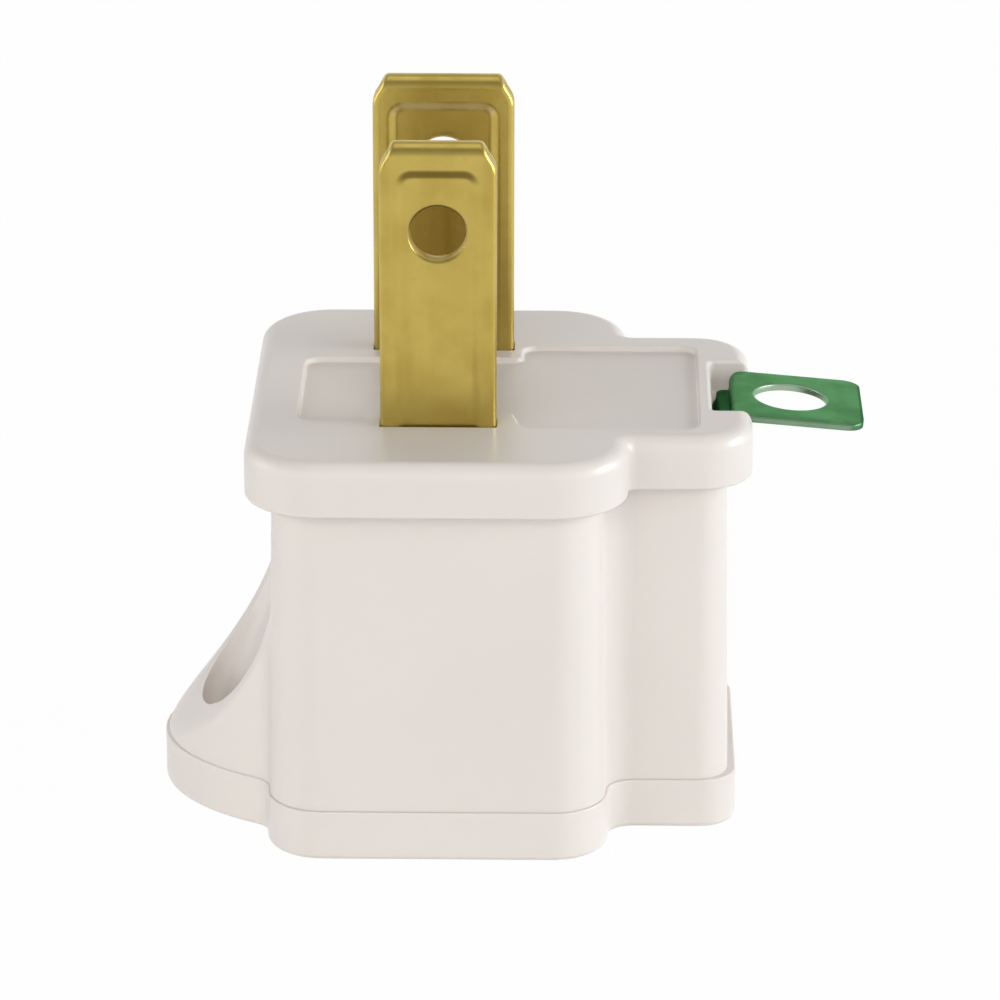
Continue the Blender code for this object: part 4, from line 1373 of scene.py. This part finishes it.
@dataclass
class LugStrip:
    """The green strip: a lug with a screw hole, a neck that steps down, and the leg in the end slot."""

    plan: Plan
    thickness: float = 0.4 * MM
    leg_x: float = 15.4 * MM
    bottom: float = 3.05 * MM
    reach: float = 23.47 * MM
    sink: float = 0.35 * MM
    slope: float = math.radians(5.0)
    lug_half: float = 3.7 * MM
    neck_half: float = 2.1 * MM
    step_half: float = 3.1 * MM
    corner: float = 1.0 * MM
    bend: float = 0.4 * MM
    step_x: float = 16.35 * MM
    step_depth: float = 0.95 * MM
    step_bend: float = 0.32 * MM
    hole_radius: float = 2.05 * MM
    hole_x: float = 19.5 * MM
    hole_rim: float = 0.08 * MM
    edge_radius: float = 0.13 * MM
    stud_heights: Point = (9.5 * MM, 15.5 * MM)
    stud_reach: float = 0.7 * MM
    stud_length: float = 0.95 * MM
    stud_radii: Point = (0.45 * MM, 0.6 * MM)

    def height(self, x: float) -> float:
        """Height of the lug's middle at x."""
        top = self.plan.top - self.sink - self.thickness / 2
        return top - math.tan(self.slope) * (x - self.leg_x)

    def half_width(self, x: float) -> float:
        """Half the strip's width at x: the leg, the step over the notch floor and the rounded lug."""
        start = self.step_x - self.thickness / 2
        if x < self.leg_x + 0.3 * self.bend:
            return self.neck_half
        if x < start:
            return self.step_half
        near = min(x - start, self.reach - x)
        if near >= self.corner:
            return self.lug_half
        chord = math.sqrt(max(0.0, self.corner ** 2 - (self.corner - near) ** 2))
        return self.lug_half - self.corner + chord

    def centre_line(self) -> Path:
        """The strip's middle from the leg's foot over both bends to the lug's end, as (x, z)."""
        low = self.height(self.step_x) - self.step_depth
        beyond = self.step_x + self.step_bend + 0.2 * MM
        bends: list[Corner] = [(self.leg_x, self.bottom, 0.0), (self.leg_x, low, self.bend),
                               (self.step_x, low, self.step_bend),
                               (self.step_x, self.height(self.step_x), self.step_bend),
                               (beyond, self.height(beyond), 0.0)]
        line = rounded(bends, 10, closed=False)[:-1]
        start = self.step_x - self.thickness / 2
        turn = next(i for i, (x, _) in enumerate(line) if x > start)
        share = (start - line[turn - 1][0]) / (line[turn][0] - line[turn - 1][0])
        edge_z = line[turn - 1][1] + share * (line[turn][1] - line[turn - 1][1])
        line[turn:turn] = [(start - 0.01 * MM, edge_z), (start + 0.001 * MM, edge_z)]
        curve = [rise for rise, _ in rounding(self.corner, 8)]
        flat = self.reach - start - 2 * self.corner
        xs = [start + d for d in curve]
        xs += [start + self.corner + flat * k / 12 for k in range(1, 12)]
        xs += [self.reach - d for d in reversed(curve)]
        return line + [(x, self.height(x)) for x in xs if x > line[-1][0] + 0.005 * MM]

    def section(self, centre: Vector, normal: Vector, half: float) -> list[tuple[float, float, float]]:
        """One rounded cross-section of the strip.

        Args:
            centre: Its middle in XZ.
            normal: The strip's normal in XZ.
            half: Half its width.

        Returns:
            The ring of points.
        """
        thick = self.thickness / 2
        edge = [(-half + out, thick - down) for out, down in rounding(self.edge_radius, 4)]
        inner = half - self.edge_radius
        stations = edge + [(-inner + 2 * inner * k / 12, thick) for k in range(1, 12)]
        stations += [(-y, t) for y, t in reversed(edge)]
        ring = []
        for way in (1, -1):
            for y, t in stations[::way]:
                spot = centre + normal * t * way
                ring.append((spot.x, y, spot.y))
        return ring

    def stud(self, name: str, height: float) -> Object:
        """A staked stud on the leg's inner side.

        Args:
            name: Name of the stud.
            height: Height that it stands at.

        Returns:
            The stud.
        """
        start = self.leg_x - self.thickness / 2 - self.stud_reach
        middle = Matrix.Translation((start + self.stud_length / 2, 0, height))
        place = middle @ Matrix.Rotation(QUARTER, 4, "Y")
        bm = bmesh.new()
        bmesh.ops.create_cone(bm, cap_ends=True, segments=32, radius1=self.stud_radii[0],
                              radius2=self.stud_radii[1], depth=self.stud_length, matrix=place)
        return new_object(name, bm)

    def build(self) -> Object:
        """Build the strip.

        Returns:
            The finished piece.
        """
        line = self.centre_line()
        rows = []
        for i, (x, z) in enumerate(line):
            along = heading(line, i)
            rows.append(self.section(Vector((x, z)), Vector((-along.y, along.x)), self.half_width(x)))
        strip = skinned("green_lug_strip", rows)
        middle = Matrix.Translation((self.hole_x, 0, self.height(self.hole_x)))
        place = middle @ Matrix.Rotation(self.slope, 4, "Y")
        edge = rim(self.hole_rim, CUT_LIFT, 4, BORE_ANGLE)
        combine(strip, bore("lug_hole", self.hole_radius, self.thickness / 2, edge, 72,
                            lambda a, b, depth: place @ Vector((a, b, depth))))
        for i, height in enumerate(self.stud_heights):
            combine(strip, self.stud("stud_%d" % i, height), "UNION")
        return settled(strip, 40.0)


# ---------------------------------------------------------------- studio


@dataclass(frozen=True)
class Softbox:
    """A soft square lamp that faces the object."""

    name: str
    place: tuple[float, float, float]
    size: float
    power: float
    mirrored: bool = True
    tint: Colour = (1.0, 1.0, 1.0)

    def build(self, aim: Sequence[float]) -> None:
        """Add the lamp to the scene.

        Args:
            aim: The place that it faces.
        """
        data = bpy.data.lights.new(self.name, "AREA")
        data.color = self.tint
        data.shape = "SQUARE"
        data.size = self.size
        data.energy = self.power
        lamp = bpy.data.objects.new(self.name, data)
        lamp.location = self.place
        lamp.rotation_euler = (Vector(aim) - Vector(self.place)).to_track_quat("-Z", "Y").to_euler()
        lamp.visible_glossy = self.mirrored
        bpy.context.scene.collection.objects.link(lamp)


SOFTBOXES = (
    Softbox("front_softbox", (0.0, -0.6, 0.2), 0.45, 1.15, mirrored=False),
    Softbox("front_high_softbox", (0.0, -0.5, 0.42), 0.45, 0.72, mirrored=False),
    Softbox("front_left_softbox", (-0.42, -0.42, 0.15), 0.4, 1.2, mirrored=False),
    Softbox("right_softbox", (0.6, -0.05, 0.12), 0.4, 3.7, tint=(0.93, 0.97, 1.0)),
    Softbox("left_softbox", (-0.6, 0.0, 0.15), 0.4, 0.85),
    Softbox("overhead_softbox", (0.0, 0.0, 0.7), 0.5, 0.5),
    Softbox("back_high_softbox", (0.0, 0.6, 0.3), 0.45, 0.12),
    Softbox("back_low_softbox", (0.0, 0.6, 0.05), 0.45, 1.5, mirrored=False),
    Softbox("back_right_softbox", (0.42, 0.42, 0.08), 0.4, 0.6, mirrored=False),
)


@dataclass
class Studio:
    """The pale floor, the soft lights and the camera."""

    focal_px: float = 5391.545
    elevation: float = math.radians(20.977)
    azimuth: float = math.radians(0.887)
    roll: float = math.radians(0.046)
    eye: tuple[float, float, float] = (7.523 * MM, -283.594 * MM, 125.548 * MM)
    centre_px: tuple[float, float] = (497.413, 498.54)
    image: float = 1000.0
    sensor: float = 36.0
    clip: Point = (0.01, 20.0)
    aim: tuple[float, float, float] = (0.004, 0.0, 0.015)
    zenith: float = 0.5
    front: float = 0.7
    ambient: float = 0.1
    floor_reach: float = 3.0
    floor_grey: Colour = (0.85, 0.85, 0.85)
    floor_white: float = 0.975

    def camera(self) -> None:
        """Place the camera at the photograph's viewing angle."""
        data = bpy.data.cameras.new("studio_camera")
        data.sensor_width = self.sensor
        data.lens = self.focal_px / self.image * self.sensor
        data.shift_x = (self.image / 2 - self.centre_px[0]) / self.image
        data.shift_y = (self.centre_px[1] - self.image / 2) / self.image
        data.clip_start, data.clip_end = self.clip
        forward = Vector((-math.sin(self.azimuth) * math.cos(self.elevation),
                          math.cos(self.azimuth) * math.cos(self.elevation), -math.sin(self.elevation)))
        level = Vector((math.cos(self.azimuth), math.sin(self.azimuth), 0.0))
        above = level.cross(forward)
        right = level * math.cos(self.roll) + above * math.sin(self.roll)
        up = above * math.cos(self.roll) - level * math.sin(self.roll)
        turned = Matrix((right, up, -forward)).transposed().to_4x4()
        camera = bpy.data.objects.new("studio_camera", data)
        camera.matrix_world = Matrix.Translation(self.eye) @ turned
        bpy.context.scene.collection.objects.link(camera)
        bpy.context.scene.camera = camera

    def world(self) -> None:
        """White surroundings for the camera, dimmer in reflections overhead and in front, with soft fill."""
        world = bpy.data.worlds.new("studio_world")
        bpy.context.scene.world = world
        world.use_nodes = True
        graph = Graph(world.node_tree)
        rays = graph.node("ShaderNodeLightPath").outputs
        mirrored = graph.math("MAXIMUM", rays["Is Glossy Ray"], rays["Is Transmission Ray"])
        parts = graph.parts(graph.coordinates("Generated"))
        above = graph.ramp(parts["Z"], 0.1, 0.9, 1.0, self.zenith)
        ahead = graph.ramp(parts["Y"], -0.5, 0.2, 1.0, 0.0)
        open_front = graph.math("MULTIPLY", ahead, graph.ramp(parts["Z"], 0.0, 0.15))
        dimmed = graph.math("SUBTRACT", 1.0, graph.math("MULTIPLY", open_front, 1.0 - self.front))
        sky = graph.math("MULTIPLY", above, dimmed)
        seen = graph.math("ADD", rays["Is Camera Ray"], graph.math("MULTIPLY", mirrored, sky))
        plain = graph.math("SUBTRACT", 1.0, graph.math("MAXIMUM", rays["Is Camera Ray"], mirrored))
        strength = graph.math("ADD", seen, graph.math("MULTIPLY", plain, self.ambient))
        graph.fill(world.node_tree.nodes["Background"], Strength=strength, Color=(1.0, 1.0, 1.0))

    def floor(self) -> None:
        """A white floor that keeps a faint shadow of the object."""
        bm = bmesh.new()
        reach = self.floor_reach
        corners = rectangle(-reach, reach, -reach, reach, 0.0)
        bm.faces.new([bm.verts.new((x, y, 0.0)) for x, y, _ in corners])
        floor = new_object("studio_floor", bm)
        bpy.context.scene.collection.objects.link(floor)
        mat, graph, principled = new_material("pale_floor")
        graph.tree.nodes.remove(principled)
        plain = graph.fill(graph.node("ShaderNodeBsdfDiffuse"), Color=self.floor_grey)
        white = graph.fill(graph.node("ShaderNodeEmission"), Strength=1.0)
        rays = graph.node("ShaderNodeLightPath").outputs
        seen = graph.math("MAXIMUM", rays["Is Camera Ray"], rays["Is Glossy Ray"])
        seen = graph.math("MAXIMUM", seen, rays["Is Transmission Ray"])
        mix = graph.node("ShaderNodeMixShader")
        for socket, source in zip(mix.inputs, (graph.math("MULTIPLY", seen, self.floor_white),
                                               plain.outputs[0], white.outputs[0])):
            graph.link(source, socket)
        graph.fill(graph.tree.nodes["Material Output"], Surface=mix.outputs[0])
        floor.data.materials.append(mat)

    def build(self) -> None:
        """Set up the camera, the lights, the world and the floor."""
        self.camera()
        for softbox in SOFTBOXES:
            softbox.build(self.aim)
        self.world()
        self.floor()
        bpy.context.scene.view_settings.view_transform = "Standard"


@dataclass
class Adapter:
    """The whole adapter, dressed."""

    frame: dict
    effects: Effects = field(default_factory=Effects)
    plan: Plan = field(default_factory=Plan)

    def dress(self, piece: Object, mat: Material, slot: Slot, node: str) -> None:
        """Give a piece its finish and let it stand for its CAD node.

        Args:
            piece: The finished piece.
            mat: Its material.
            slot: The record's material slot; not used.
            node: The CAD node that it replaces.
        """
        piece.data.materials.clear()
        piece.data.materials.append(mat)
        for polygon in piece.data.polygons:
            polygon.material_index = 0
        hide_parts(node)
        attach(piece, BODY)
        LOG.info("%s: %d vertices, stands for %s", piece.name, len(piece.data.vertices), node)

    def build(self) -> None:
        """Build and dress every piece."""
        plastic = MouldedPlastic().material(self.effects)
        # the neutral blade and the ground contact get a painted highlight on faces that turn downwards, the
        # hot blade a painted shade
        brass = RolledBrass(painted_crease_tone=(0.95, 0.80, 0.38), painted_crease_share=0.7).material(self.effects)
        painted_crease = RolledBrass(name="brass_with_painted_crease_shade", painted_crease_share=0.9).material(self.effects)
        green = DyedStrip().material(self.effects)
        plan = self.plan
        self.dress(Housing(plan).build(), plastic, Slot.PLASTIC, "housing")
        self.dress(ReceptacleCover(plan).build(), plastic, Slot.PLASTIC, "receptacle_cover")
        for (name, side, width), finish in zip(plan.blades(), (painted_crease, brass)):
            contact = FoldedContact(name + "_blade_strip", name + "_contact", side, width, plan)
            self.dress(contact.build(), finish, Slot.BRASS, contact.node)
        self.dress(LugStrip(plan).build(), green, Slot.GREEN, "ground_tab")
        clip = self.frame["nodes"]["ground_contact"]
        clip.data.materials.clear()
        clip.data.materials.append(brass)
        LOG.info("ground_contact keeps its CAD mesh")


def main() -> None:
    """Build the adapter in its studio."""
    logging.basicConfig(level=logging.INFO, format="%(name)s: %(message)s")
    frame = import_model()
    Adapter(frame).build()
    Studio().build()


if __name__ == "__main__":
    main()
